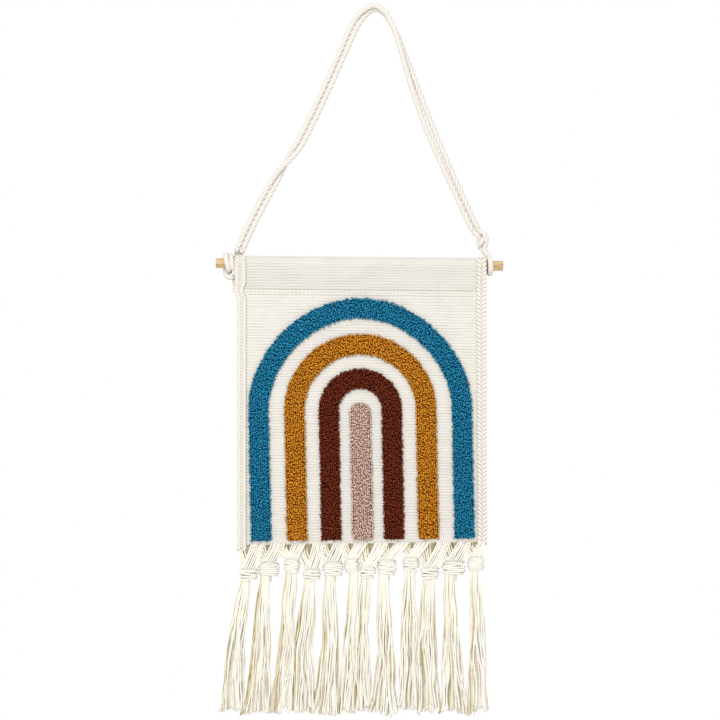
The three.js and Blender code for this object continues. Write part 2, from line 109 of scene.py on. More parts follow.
# One row for each tassel, from left to right. The yarns' middle is at MIDDLE_Z.
MIDDLE_Z = -634.5
TASSELS = [
    # form, knot: x, z, width, height; yarns: neck left, right; middle left, right; tip left, right, z
    ("low", -126.0, -563.0, 18.0, 14.0, -136.0, -123.5, -147.0, -130.5, -153.5, -131.5, -702),
    ("wide", -105.6, -558.2, 19.6, 15.0, -115.5, -104.5, -121.5, -104.5, -129.5, -104.0, -704),
    ("barrel", -82.6, -555.2, 14.4, 15.5, -89.7, -76.7, -96.5, -80.4, -103.2, -83.8, -701),
    ("low", -62.6, -563.5, 16.6, 14.0, -71.5, -58.5, -79.6, -60.5, -83.0, -61.5, -703),
    ("wide", -41.6, -558.0, 19.8, 15.0, -50.5, -39.5, -53.5, -36.5, -60.7, -36.6, -704),
    ("barrel", -22.8, -554.8, 13.6, 15.3, -25.8, -15.4, -30.0, -18.2, -35.9, -20.1, -701),
    ("low", -7.0, -560.5, 14.6, 14.5, -14.6, -3.8, -17.4, -5.5, -19.3, -2.5, -702),
    ("wide", 12.3, -556.0, 18.4, 16.0, 3.0, 15.0, 2.5, 18.5, -1.6, 23.6, -704),
    ("barrel", 36.5, -553.4, 15.6, 14.5, 28.5, 41.5, 26.5, 42.5, 24.3, 43.2, -701),
    ("low", 55.4, -561.5, 17.6, 14.0, 47.5, 60.5, 43.8, 61.5, 44.0, 65.4, -702),
    ("wide", 78.9, -557.0, 22.8, 15.0, 68.5, 80.0, 69.0, 85.5, 66.2, 91.6, -704),
    ("barrel", 101.4, -553.0, 15.4, 15.0, 94.5, 107.5, 93.5, 110.5, 92.3, 114.8, -703),
]
# How each kind of knot is tied: the tilt of its turns in degrees at the top and at the foot, its depth, and
# how far its turns reach up and down, as a share of half its height
KNOT_FORMS = {
    "low": {"top_tilt": 1.0, "foot_tilt": -3.0, "depth": 13.0, "span": (0.42, -0.84)},
    "wide": {"top_tilt": -8.0, "foot_tilt": 6.0, "depth": 12.5, "span": (0.74, -0.82)},
    "barrel": {"top_tilt": -2.0, "foot_tilt": 3.0, "depth": 12.5, "span": (0.66, -0.88)},
}


# Small helpers

def lerp(low, high, t):
    return low + (high - low) * t


def clamp01(t):
    return min(1.0, max(0.0, t))


def at(x, y, z):
    """A point given in millimetres."""
    return Vector((x, y, z)) * MM


def colour(red, green, blue):
    """A screen colour, 0 to 255, as the linear colour that a shader takes."""
    return tuple(
        (c / 255 / 12.92) if c <= 10 else ((c / 255 + 0.055) / 1.055) ** 2.4
        for c in (red, green, blue)
    ) + (1.0,)


def rod_z(x):
    return ROD["middle_z"] + ROD["slope"] * (x - ROD["middle_x"])


def stitch_z(x):
    return rod_z(x) - CLOTH["stitch_drop"]


def foot_z(x):
    return FOOT["left_z"] + FOOT["slope"] * (x - CLOTH["left"])


def left_edge(z):
    share = clamp01((z - POCKET_FLARE["from_z"]) / POCKET_FLARE["over"])
    return CLOTH["left"] - POCKET_FLARE["reach"] * share


def right_edge(z):
    share = clamp01((stitch_z(CLOTH["right"]) - z) / SPREADING["over"])
    return CLOTH["right"] + SPREADING["reach"] * share


def fold(x, z):
    """How far the hanging cloth swings back in its soft folds."""
    fall = clamp01((stitch_z(x) - z) / FOLDS["full_below"])
    wave = 2 * math.pi * (x - CLOTH["left"]) / FOLDS["width"] + FOLDS["phase"]
    return FOLDS["depth"] * fall * math.sin(wave)


def smooth_line(points, step):
    """Points about a step apart, on a smooth line through the given ones."""
    ends = [points[0] * 2 - points[1], *points, points[-1] * 2 - points[-2]]
    line = []
    for p0, p1, p2, p3 in zip(ends, ends[1:], ends[2:], ends[3:]):
        t1 = (p1 - p0).length ** 0.5
        t2 = t1 + (p2 - p1).length ** 0.5
        t3 = t2 + (p3 - p2).length ** 0.5
        count = max(1, round((p2 - p1).length / step))
        for n in range(count):
            t = lerp(t1, t2, n / count)
            a1 = p0.lerp(p1, t / t1)
            a2 = p1.lerp(p2, (t - t1) / (t2 - t1))
            a3 = p2.lerp(p3, (t - t2) / (t3 - t2))
            b1 = a1.lerp(a2, t / t2)
            b2 = a2.lerp(a3, (t - t1) / (t3 - t1))
            line.append(b1.lerp(b2, (t - t1) / (t2 - t1)))
    line.append(points[-1].copy())
    return line


def line_length(points):
    return sum((b - a).length for a, b in zip(points, points[1:]))


# Shader wiring

class Wire:
    """A socket in a shader, with arithmetic that adds the nodes it needs."""

    def __init__(self, finish, socket):
        self.finish = finish
        self.socket = socket

    def _math(self, operation, *values):
        return self.finish.node("ShaderNodeMath", {"operation": operation}, dict(enumerate(values)))

    def __add__(self, other):
        return self._math("ADD", self, other)

    __radd__ = __add__

    def __sub__(self, other):
        return self._math("SUBTRACT", self, other)

    def __rsub__(self, other):
        return self._math("SUBTRACT", other, self)

    def __mul__(self, other):
        return self._math("MULTIPLY", self, other)

    __rmul__ = __mul__

    def __pow__(self, other):
        return self._math("POWER", self, other)

    def sine(self):
        return self._math("SINE", self)

    def size(self):
        return self._math("ABSOLUTE", self)

    def between(self, low, high):
        """0 at low, 1 at high, kept within 0 and 1."""
        sockets = {"Value": self, "From Min": low, "From Max": high}
        return self.finish.node("ShaderNodeMapRange", {"clamp": True}, sockets)


class Finish:
    """A material, wired up in plain expressions."""

    def __init__(self, name, shader):
        self.material = bpy.data.materials.new(name)
        self.material.use_nodes = True
        self.tree = self.material.node_tree
        self.shader = self.tree.nodes["Principled BSDF"]
        for socket, value in shader.items():
            self.shader.inputs[socket].default_value = value

    def node(self, kind, settings=None, sockets=None, output=0):
        """A new node of that kind, with its settings and with the values or wires of its sockets."""
        made = self.tree.nodes.new(kind)
        for setting, value in (settings or {}).items():
            setattr(made, setting, value)
        for socket, value in (sockets or {}).items():
            if isinstance(value, Wire):
                self.tree.links.new(value.socket, made.inputs[socket])
            else:
                made.inputs[socket].default_value = value
        return Wire(self, made.outputs[output])

    def places(self, stretch=(1, 1, 1)):
        """Object coordinates, stretched."""
        place = self.node("ShaderNodeTexCoord", output="Object")
        return self.node("ShaderNodeMapping", sockets={"Vector": place, "Scale": stretch})

    def value(self, name):
        """A number that the piece carries at each point."""
        return self.node("ShaderNodeAttribute", {"attribute_name": name}, output="Fac")

    def speckle(self, places, scale, detail=2.0, roughness=0.5):
        """Soft noise from 0 to 1."""
        sockets = {"Vector": places, "Scale": scale, "Detail": detail, "Roughness": roughness}
        return self.node("ShaderNodeTexNoise", sockets=sockets)

    def mix(self, factor, first, second):
        """A colour between two, the second where the factor is 1."""
        return self.node("ShaderNodeMix", {"data_type": "RGBA"}, {0: factor, 6: first, 7: second}, output=2)

    def feed(self, socket, wire):
        self.tree.links.new(wire.socket, self.shader.inputs[socket])

    def relief(self, height, depth):
        """Small relief: height runs from 0 to 1, depth is in metres."""
        self.feed("Normal", self.node("ShaderNodeBump", sockets={"Distance": depth, "Height": height}))


# Tan and dark tan: painted shade for yarn that lies deep and in the gaps between yarns; tan is also on the
# stub of a knot's end
SHADE_TAN = colour(204, 186, 134)
DEEP_SHADE_TAN = colour(112, 88, 50)
SOFT = {"Roughness": 0.95, "Specular IOR Level": 0.08}
WARP_PITCH = 2.6  # from one warp yarn to the next, in millimetres


def cloth_finish(settings):
    """Woven cotton: rounded weft ribs with the warp dipping between them, with painted shade in the grooves
    between the ribs and where the warp dips, and greyer on the rod pocket and near it. across and along are
    millimetres from the cloth's left edge and from its seam, and pocket is 1 on the pocket."""
    finish = Finish("woven_cotton", SOFT)
    across = finish.value("across")
    along = finish.value("along")
    pocket = finish.value("pocket")
    wander = finish.speckle(finish.places(), 45, 2) - 0.5
    grain = finish.speckle(finish.places((1, 1, 2)), 1500, 2)
    slub = finish.speckle(finish.places((0.25, 1, 2.6)), 260, 3, 0.6)
    patches_and_shade = finish.speckle(finish.places((1, 1, 1.6)), 38, 3, 0.6).between(0.35, 0.65)

    def ribs(pitch, wave):
        return ((along + wander * wave) * (math.pi / pitch)).sine().size()

    panel_pitch = settings.rib_pitch / MM
    panel_rib = ribs(panel_pitch, 2.0)
    pocket_rib = ribs(settings.pocket_pitch / MM, 2.4)
    rib = pocket_rib * pocket + panel_rib * (1 - pocket)
    # the warp moves over by half a step from one rib to the next
    over = (along * (math.pi / panel_pitch)).sine() * 1.8
    warp = ((across + wander * 4) * (2 * math.pi / WARP_PITCH) + over).sine()
    height = rib * (0.45 - pocket * 0.15) + warp * 0.09 + grain * 0.12

    # painted shade: the grooves between the ribs and the dips of the warp take the groove colour, more in
    # random patches; slubs darken the cloth at random
    groove = 1 - rib.between(0.0, 0.62)
    dots = (warp * -1).between(0.1, 1.0) * groove
    in_grooves = groove * (0.39 - pocket * 0.02) + dots * (pocket * 0.15 + 0.5)
    shade = in_grooves * (patches_and_shade * 1.1 + 0.4) + slub.between(0.5, 0.75) * 0.25
    body = finish.mix(shade.between(0.0, 1.25), settings.colour, settings.groove_shade)
    near_rod = along.between(-90.0, 0.0)
    finish.feed("Base Color", finish.mix(near_rod * 0.17 + pocket * 0.11, body, settings.pocket_colour))
    finish.relief(height, 0.00045)
    return finish.material


def pile_finish(name, deep, light):
    """Looped pile: dark between the loops and lighter on their crowns, which is painted shade, each loop a
    little different. rise is 0 at the cloth and about 1 at a loop's crown."""
    finish = Finish(name, SOFT)
    rise = finish.value("rise")
    tint = finish.value("tint")
    fibre = finish.speckle(finish.places(), 1250, 2, 0.6)
    lit = rise.between(0.45, 1.0) ** 1.4
    tone = (lit * 0.75 + tint * 0.25 + fibre.between(0.3, 0.7) * 0.42 - 0.2).between(0.0, 1.0)
    finish.feed("Base Color", finish.mix(tone, deep, light))
    finish.relief(fibre, 0.00025)
    return finish.material


def yarn_finish(name, light, shade, warm, fibre_scale=1300, ply_depth=0.7):
    """Soft cotton yarn: pale on its plies, where ridge is 1, and darker where they meet, which is painted
    shade.
    The higher its tint, the warmer a yarn is; on the tassels the tint also carries painted shade, for yarns on
    a bundle's shaded side and in its gaps. A tint over 1 turns to tan, and over 2 to dark tan, painted shade
    for yarn that lies deep."""
    finish = Finish(name, SOFT)
    ridge = finish.value("ridge")
    tint = finish.value("tint")
    fibre = finish.speckle(finish.places((1, 1, 0.5)), fibre_scale, 3, 0.6)
    patch = finish.speckle(finish.places((1, 1, 0.3)), 60, 2)
    # painted shade: darker between the plies; the tint warms yarns at random and, on the tassels, for shade
    body = finish.mix((ridge * ply_depth + fibre * 0.5 + (0.7 - ply_depth)).between(0.0, 0.8), shade, light)
    patches_and_shade = finish.mix((tint * 0.35 + patch * 0.4 - 0.1).between(0.0, 1.0) * 0.6, body, warm)
    shaded = finish.mix((tint - 1).between(0.0, 1.0), patches_and_shade, SHADE_TAN)
    finish.feed("Base Color", finish.mix((tint - 2).between(0.0, 1.0), shaded, DEEP_SHADE_TAN))
    finish.relief(fibre, 0.00022)
    return finish.material


def wood_finish(settings):
    """Pale sanded wood, its grain running along the rod."""
    finish = Finish("sanded_wood", {"Roughness": 0.55, "Specular IOR Level": 0.35})
    long_grain = finish.speckle(finish.places((0.06, 1, 1)), 900, 4, 0.6)
    bands = finish.speckle(finish.places((0.05, 1, 1)), 260, 2)
    pores = finish.speckle(finish.places((0.12, 1, 1)), 2600, 2)
    tone = (long_grain * 0.7 + bands * 0.5 - 0.1).between(0.36, 0.62)
    body = finish.mix(tone, settings.dark_colour, settings.light_colour)
    finish.feed("Base Color", finish.mix(pores.between(0.52, 0.66) * 0.6, body, settings.pore_colour))
    finish.feed("Roughness", long_grain.between(0.2, 0.9) * 0.2 + 0.45)
    finish.relief(long_grain, 0.0001)
    return finish.material


# Making pieces

def in_scene(name, mesh, material):
    """A finished piece: smooth, in the collection, riding on the object's body, with its material slot."""
    mesh.name = name
    mesh.materials.clear()
    mesh.materials.append(material)
    mesh.polygons.foreach_set("use_smooth", [True] * len(mesh.polygons))
    piece = bpy.data.objects.new(name, mesh)
    bpy.context.scene.collection.objects.link(piece)
    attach(piece, "root")
    return piece


def carry(mesh, values):
    """Gives each point of the mesh the numbers that its material reads."""
    for name, numbers in values.items():
        layer = mesh.attributes.new(name, "FLOAT", "POINT")
        layer.data.foreach_set("value", np.asarray(numbers, dtype=np.float32))


def mesh_of(bm):
    mesh = bpy.data.meshes.new("shape")
    bm.to_mesh(mesh)
    bm.free()
    return mesh


def facing_out(bm):
    """Turns a closed shape's faces so that they point outwards."""
    bmesh.ops.recalc_face_normals(bm, faces=bm.faces)
    if bm.calc_volume(signed=True) < 0:
        bmesh.ops.reverse_faces(bm, faces=bm.faces)


def sheet_mesh(across, along, place, thickness):
    """A grid laid over a surface and given a thickness. place(a, b) gives the point, in metres, for the
    share a across and b along, and the numbers that its material reads."""
    bm = bmesh.new()
    bmesh.ops.create_grid(bm, x_segments=across, y_segments=along, size=0.5)
    placed = [place(vertex.co.x + 0.5, vertex.co.y + 0.5) for vertex in bm.verts]
    layers = {name: bm.verts.layers.float.new(name) for name in placed[0][1]}
    for vertex, (point, numbers) in zip(bm.verts, placed):
        vertex.co = point
        for name, number in numbers.items():
            vertex[layers[name]] = number
    bm.normal_update()
    front = sum(face.normal.y * face.calc_area() for face in bm.faces) < 0
    bmesh.ops.solidify(bm, geom=bm.faces[:], thickness=thickness if front else -thickness)
    facing_out(bm)
    return mesh_of(bm)


def shape_arrays(bm):
    """The points and faces of a small shape that will be repeated."""
    facing_out(bm)
    bm.verts.index_update()
    points = np.array([vertex.co[:] for vertex in bm.verts])
    faces = [[vertex.index for vertex in face.verts] for face in bm.faces]
    bm.free()
    return points, faces


def gathered(parts):
    """One mesh of many small shapes. A part is its points, its faces and the numbers at its points."""
    points = np.concatenate([part[0] for part in parts])
    faces = []
    start = 0
    for part_points, part_faces, _ in parts:
        faces.extend([[start + corner for corner in face] for face in part_faces])
        start += len(part_points)
    mesh = bpy.data.meshes.new("shape")
    mesh.from_pydata(points, [], faces)
    names = parts[0][2].keys()
    carry(mesh, {name: np.concatenate([part[2][name] for part in parts]) for name in names})
    return mesh


def moved(points, matrix):
    """The points of a small shape, put in their place."""
    turned = np.array(matrix.to_3x3()) @ points.T
    return turned.T + np.array(matrix.translation)


def ply_section(lobes, groove, per_lobe):
    """A yarn's outline across: one round lobe for each ply."""
    line = bpy.data.curves.new("section", "CURVE")
    spline = line.splines.new("POLY")
    count = lobes * per_lobe
    spline.points.add(count - 1)
    ridges = []
    for i, corner in enumerate(spline.points):
        angle = 2 * math.pi * i / count
        ridge = abs(math.cos(lobes * angle / 2)) if per_lobe > 2 else float(i % 2 == 0)
        radius = 1 - groove * (1 - ridge)
        corner.co = (radius * math.cos(angle), radius * math.sin(angle), 0, 1)
        ridges.append(ridge)
    spline.use_cyclic_u = True
    section = bpy.data.objects.new("section", line)
    bpy.context.scene.collection.objects.link(section)
    return section, ridges


def yarn_mesh(routes, lobes=3, groove=0.16, per_lobe=2):
    """One mesh of several yarns. A route is its points in metres, its radius or radii, the length in metres
    in which its plies turn once round, its tint, and whether it closes on itself."""
    section, ridges = ply_section(lobes, groove, per_lobe)
    line = bpy.data.curves.new("yarns", "CURVE")
    line.dimensions = "3D"
    line.bevel_mode = "OBJECT"
    line.bevel_object = section
    tints = []
    for route in routes:
        points = route["points"]
        closed = route.get("closed", False)
        radii = route["radius"]
        radii = radii if isinstance(radii, list) else [radii] * len(points)
        travelled = [0.0]
        for a, b in zip(points, points[1:]):
            travelled.append(travelled[-1] + (b - a).length)
        twist = 2 * math.pi / route["turn"]
        if closed:  # the plies have to meet, so the twist is rounded to whole plies
            whole = travelled[-1] + (points[-1] - points[0]).length
            steps = max(1, round(whole * twist * lobes / (2 * math.pi)))
            twist = steps * 2 * math.pi / lobes / whole
        spline = line.splines.new("POLY")
        spline.points.add(len(points) - 1)
        spline.points.foreach_set("co", [c for p in points for c in (*p, 1.0)])
        spline.points.foreach_set("radius", radii)
        spline.points.foreach_set("tilt", [s * twist + route["tint"] * 6.0 for s in travelled])
        spline.use_cyclic_u = closed
        tints.extend([route["tint"]] * (len(points) * len(ridges)))
    yarns = bpy.data.objects.new("yarns", line)
    bpy.context.scene.collection.objects.link(yarns)
    depsgraph = bpy.context.evaluated_depsgraph_get()
    mesh = bpy.data.meshes.new_from_object(yarns.evaluated_get(depsgraph))
    for used in (yarns, section):
        curve = used.data
        bpy.data.objects.remove(used)
        bpy.data.curves.remove(curve)
    if len(mesh.vertices) != len(tints):
        raise RuntimeError(f"the yarns have {len(mesh.vertices)} points and not {len(tints)}")
    bm = bmesh.new()
    bm.from_mesh(mesh)
    bmesh.ops.holes_fill(bm, edges=bm.edges[:], sides=0)
    facing_out(bm)
    bm.to_mesh(mesh)
    bm.free()
    carry(mesh, {"tint": tints, "ridge": np.tile(ridges, len(tints) // len(ridges))})
    return mesh


# The cloth

# The grid of the cloth: columns across, and rows below the pocket, on its front or back, round the rod and
# on the hem
COLUMNS = 84
HANGING_ROWS = 160
FACE_ROWS = 42
ROUND_ROWS = 56
HEM_ROWS = 10

# Soft dents in the rod pocket: x, z, how wide, how high, how deep
DENTS = [
    (-84, -271, 22, 7, 0.7),
    (-40, -256, 18, 8, 0.5),
    (-12, -272, 14, 6, 0.5),
    (46, -268, 26, 7, 0.5),
    (88, -262, 12, 9, 0.6),
]


def pocket_angles():
    """The angles, seen along X, between which the cloth lies on the round of the rod pocket: from the
    front, over the top, to the back."""
    leave = math.acos(CLOTH["pocket"] / math.hypot(CLOTH["half"], CLOTH["stitch_drop"]))
    down = math.atan2(-CLOTH["stitch_drop"], -CLOTH["half"])
    return down - leave, down + leave - 2 * math.pi


def cloth_rows():
    """The cloth's way from its foot up the front, over the rod, down the back and to the end of its hem. A
    row below the pocket has its share of the height, t. Any other has its y and z, the way it faces, ny and
    nz, and how far the cloth has gone from the seam."""
    first, last = pocket_angles()
    rows = [{"t": n / HANGING_ROWS} for n in range(HANGING_ROWS)]

    def round_point(angle):
        return CLOTH["pocket"] * math.cos(angle), CLOTH["pocket"] * math.sin(angle)

    def straight(start, end, count):
        (y0, z0), (y1, z1) = start, end
        length = math.hypot(y1 - y0, z1 - z0)
        for n in range(count):
            rows.append({
                "y": lerp(y0, y1, n / count), "z": lerp(z0, z1, n / count),
                "ny": -(z1 - z0) / length, "nz": (y1 - y0) / length,
            })

    seam = (-CLOTH["half"], -CLOTH["stitch_drop"])
    hem_top = (CLOTH["hem_y"], -CLOTH["stitch_drop"])
    hem_end = (CLOTH["hem_y"], -CLOTH["stitch_drop"] - CLOTH["hem"])
    straight(seam, round_point(first), FACE_ROWS)
    for n in range(ROUND_ROWS):
        angle = lerp(first, last, n / ROUND_ROWS)
        y, z = round_point(angle)
        rows.append({"y": y, "z": z, "ny": math.cos(angle), "nz": math.sin(angle)})
    straight(round_point(last), hem_top, FACE_ROWS)
    straight(hem_top, hem_end, HEM_ROWS)
    rows.append({"y": hem_end[0], "z": hem_end[1], "ny": 1.0, "nz": 0.0})
    rows[HANGING_ROWS]["gone"] = 0.0
    for before, row in zip(rows[HANGING_ROWS:], rows[HANGING_ROWS + 1:]):
        row["gone"] = before["gone"] + math.hypot(row["y"] - before["y"], row["z"] - before["z"])
    return rows


class HANGING_OT_cloth(bpy.types.Operator):
    """Weaves the panel with its rod pocket and hem, and sews the pocket's seam"""

    bl_idname = "hanging.cloth"
    bl_label = "Cloth"

    def execute(self, context):
        settings = context.scene.hanging_cloth
        rows = cloth_rows()
        last = len(rows) - 1

        def place(a, b):
            row = rows[round(b * last)]
            nominal = lerp(CLOTH["left"], CLOTH["right"], a)
            if "t" in row:
                z = lerp(foot_z(nominal), stitch_z(nominal), row["t"])
                x = lerp(left_edge(z), right_edge(z), a)
                numbers = {"across": x - CLOTH["left"], "along": z - stitch_z(nominal), "pocket": 0.0}
                return at(x, fold(x, z) - CLOTH["half"], z), numbers
            z = rod_z(nominal) + row["z"]
            x = lerp(left_edge(z), right_edge(z), a)
            rib = abs(math.sin(math.pi * row["gone"] / (settings.pocket_pitch / MM)))
            out = settings.rib_relief / MM * (rib - 0.5)
            if row["ny"] < 0:  # the front
                for dent_x, dent_z, wide, high, deep in DENTS:
                    out -= deep * math.exp(-((x - dent_x) / wide) ** 2 - ((z - dent_z) / high) ** 2)
            swing = fold(x, z) if row["z"] < -CLOTH["stitch_drop"] else 0.0
            point = at(x, row["y"] + row["ny"] * out + swing, z + row["nz"] * out)
            return point, {"across": x - CLOTH["left"], "along": row["gone"], "pocket": 1.0}

        mesh = sheet_mesh(COLUMNS, last, place, CLOTH["sheet"] * MM)
        piece = in_scene("cloth_panel", mesh, cloth_finish(settings))
        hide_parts("panel")
        length = -FOOT["left_z"] - CLOTH["stitch_drop"] + ROD["middle_z"] + rows[-1]["gone"]
        length * MM
        self.sew_seam(settings)
        return {"FINISHED"}

    def sew_seam(self, settings):
        """Short stitches along the foot of the rod pocket, with a finer row below."""
        draw = random.Random(5)
        pitch, inset = 4.1, 12
        front = -CLOTH["half"] - 0.1
        sunk = front + 0.3
        routes = []
        for drop, radius in ((0.1, 0.5), (-5.2, 0.34)):
            x = CLOTH["left"] + inset
            while x < CLOTH["right"] - inset:
                z = stitch_z(x) + drop + draw.uniform(-0.15, 0.15)
                points = [
                    at(x, sunk, z), at(x + 0.5, front, z),
                    at(x + pitch * 0.45, front, z), at(x + pitch * 0.58, sunk, z),
                ]
                routes.append({
                    "points": points, "radius": radius * MM, "turn": 0.004, "tint": draw.random(),
                })
                x += pitch
        # painted shade: the cloth's groove colour darkens the thread between its plies
        colours = settings.thread_colour, settings.groove_shade, settings.pocket_colour
        finish = yarn_finish("seam_thread", *colours)
        in_scene("seam_stitches", yarn_mesh(routes), finish)


# The edging

def edging_line(x, bottom):
    """The edging's way down the front: over the rod pocket from just before its top, then down the cloth.
    Gives its places, y, z and the angle it faces at, and how far along each of them is."""
    leaves_round = pocket_angles()[0] + 2 * math.pi
    start = 0.56 * math.pi
    round_steps, straight_steps, hanging_steps = 14, 12, 150

    def on_round(angle):
        return CLOTH["pocket"] * math.cos(angle), rod_z(x) + CLOTH["pocket"] * math.sin(angle), angle

    line = [on_round(lerp(start, leaves_round, n / round_steps)) for n in range(round_steps)]
    y0, z0, _ = on_round(leaves_round)
    for n in range(straight_steps):
        t = n / straight_steps
        line.append((lerp(y0, -CLOTH["half"], t), lerp(z0, stitch_z(x), t), leaves_round))
    for n in range(hanging_steps + 1):
        z = lerp(stitch_z(x), bottom, n / hanging_steps)
        line.append((fold(x, z) - CLOTH["half"], z, math.pi))
    gone = [0.0]
    for a, b in zip(line, line[1:]):
        gone.append(gone[-1] + math.hypot(b[0] - a[0], b[1] - a[1]))
    return line, gone


def along_edging(line, gone, distance):
    """The place on the edging at that distance from its top: y, z and the angle it faces at."""
    n = int(np.searchsorted(gone, distance)) - 1
    n = min(max(n, 0), len(line) - 2)
    t = clamp01((distance - gone[n]) / (gone[n + 1] - gone[n]))
    return tuple(lerp(a, b, t) for a, b in zip(line[n], line[n + 1]))


def stitch_shape():
    """One plump stitch, 1 long and 1 wide before it is scaled."""
    bm = bmesh.new()
    bmesh.ops.create_uvsphere(bm, u_segments=8, v_segments=7, radius=0.5)
    for vertex in bm.verts:
        vertex.co.x *= 1 + 0.35 * abs(vertex.co.z)
    return shape_arrays(bm)


class HANGING_OT_edging(bpy.types.Operator):
    """Sews an edging of slanting stitches down each side of the panel"""

    bl_idname = "hanging.edging"
    bl_label = "Edging"

    SIDES = {
        # drop: how far its foot hangs below the cloth; slant: of its stitches, in degrees; pitch: from one
        # stitch to the next; on_pocket: how many times as wide it is on the rod pocket
        "left": {
            "edge": left_edge, "inward": 1, "nominal": CLOTH["left"],
            "drop": 5.0, "slant": 40.0, "pitch": 3.2, "on_pocket": 1.26,
        },
        "right": {
            "edge": right_edge, "inward": -1, "nominal": CLOTH["right"],
            "drop": 2.0, "slant": 44.0, "pitch": 4.2, "on_pocket": 1.0,
        },
    }
    BEYOND = 1.0  # how far it reaches past the cloth's edge
    FIRST = 1.5  # from its top to its first stitches
    TAPE = {"thickness": 0.7, "inset": 0.7, "columns": 4, "rows": 180}  # the flat band under the stitches
    STITCH = {"length": 5.6, "width": 0.8, "depth": 1.5, "lift": 0.8}  # the width is a share of the pitch

    def execute(self, context):
        settings = context.scene.hanging_edging
        colours = settings.colour, settings.groove_shade, settings.warm_colour
        finish = yarn_finish("edging_yarn", *colours, fibre_scale=1600)
        for side, shape in self.SIDES.items():
            piece = in_scene(side + "_edging", self.edging_mesh(settings, **shape), finish)
            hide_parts("edge_braid_" + side)
        return {"FINISHED"}

    def edging_mesh(self, settings, edge, inward, nominal, drop, slant, pitch, on_pocket):
        draw = random.Random(7 if inward > 0 else 11)
        bottom = foot_z(nominal) - drop
        line, gone = edging_line(edge(bottom), bottom)

        def width_at(z):
            return settings.width / MM * lerp(1.0, on_pocket, clamp01((z - stitch_z(nominal)) / 5))

        def centre(z):
            return edge(z) - inward * self.BEYOND + inward * width_at(z) / 2

        def narrow(distance):
            """The edging's top runs to a point: its share of the width, so far from the top."""
            return clamp01((distance + 2) / 8)

        def tape(a, b):
            y, z, angle = along_edging(line, gone, b * gone[-1])
            half = (width_at(z) / 2 - self.TAPE["inset"]) * narrow(b * gone[-1])
            x = centre(z) + (a - 0.5) * 2 * half
            lift = GAP + self.TAPE["thickness"]
            point = at(x, y + math.cos(angle) * lift, z + math.sin(angle) * lift)
            return point, {"ridge": 0.25, "tint": 0.4}

        bm = bmesh.new()
        bm.from_mesh(sheet_mesh(self.TAPE["columns"], self.TAPE["rows"], tape, self.TAPE["thickness"] * MM))
        points, faces = shape_arrays(bm)
        # painted shade: the tape under the stitches takes mostly the groove colour
        parts = [(points, faces, {"ridge": [0.25] * len(points), "tint": [0.4] * len(points)})]

        stitch, stitch_faces = stitch_shape()
        # painted shade: a stitch is darker towards its sides than along its middle
        pale = np.clip(1.3 - np.abs(stitch[:, 0]) * 2.6, 0, 1)  # a stitch is palest along its middle
        width = self.STITCH["width"] * pitch
        across = Vector((1, 0, 0))
        n = 0
        while n * pitch < gone[-1] - self.FIRST:
            for side in (-1, 1):
                distance = n * pitch + self.FIRST + (pitch * 0.15 if side * inward > 0 else 0.0)
                y, z, angle = along_edging(line, gone, distance)
                size = narrow(distance)
                normal = Vector((0, math.cos(angle), math.sin(angle)))
                down = Vector((0, -math.sin(angle), math.cos(angle)))
                turn = math.radians(slant * side + draw.uniform(-4, 4))
                length_way = down * math.cos(turn) - across * math.sin(turn)
                width_way = normal.cross(length_way)
                length = self.STITCH["length"] * (width_at(z) * MM / settings.width)
                axes = Matrix((width_way * width, normal * self.STITCH["depth"], length_way * length))
                basis = axes.transposed() * MM
                x = centre(z) + side * (width_at(z) / 4 - 0.1) * size
                lift = GAP + self.STITCH["lift"] + draw.uniform(-0.1, 0.1)
                place = Matrix.Translation(at(x, y, z) + normal * lift * MM)
                matrix = place @ (basis.to_4x4() @ Matrix.Diagonal((size ** 0.5, 1, 1, 1)))
                tint = np.full(len(stitch), draw.random())
                parts.append((moved(stitch, matrix), stitch_faces, {"ridge": pale, "tint": tint}))
            n += 1
        return gathered(parts)


# The pile

def lean_at(z):
    """How far the arches' legs lean to the right."""
    return ARCHES["lean"] * max(0.0, ARCHES["spring_z"] - z)


def pile_foot_z(x):
    return foot_z(x) + ARCHES["foot_rise"]


def arch_place(radius, along, drawn_in):
    """The point of an arch line of that radius at the share along it, and the line's length. Its shoulders
    are drawn in by that much."""
    middle, spring = ARCHES["middle_x"], ARCHES["spring_z"]
    left_foot, right_foot = pile_foot_z(middle - radius), pile_foot_z(middle + radius)
    left_leg = spring - left_foot
    turn = math.pi * radius
    length = left_leg + turn + (spring - right_foot)
    gone = along * length
    if gone < left_leg:
        z = left_foot + gone
        return middle - radius + lean_at(z), z, length
    if gone < left_leg + turn:
        angle = math.pi * (1 - (gone - left_leg) / turn)
        here = radius - drawn_in * math.sin(2 * angle) ** 2
        return middle + here * math.cos(angle), spring + here * math.sin(angle), length
    z = spring - (gone - left_leg - turn)
    return middle + radius + lean_at(z), z, length


def bar_place(across, along):
    """The point of the middle bar so far across, at the share along it, and the bar's length."""
    half = PINK_BAR["half_width"]
    foot = pile_foot_z(ARCHES["middle_x"])
    top = PINK_BAR["top_z"] - half + math.sqrt(max(0.0, half * half - across * across))
    z = lerp(foot, top, along)
    return ARCHES["middle_x"] + across + lean_at(z), z, top - foot


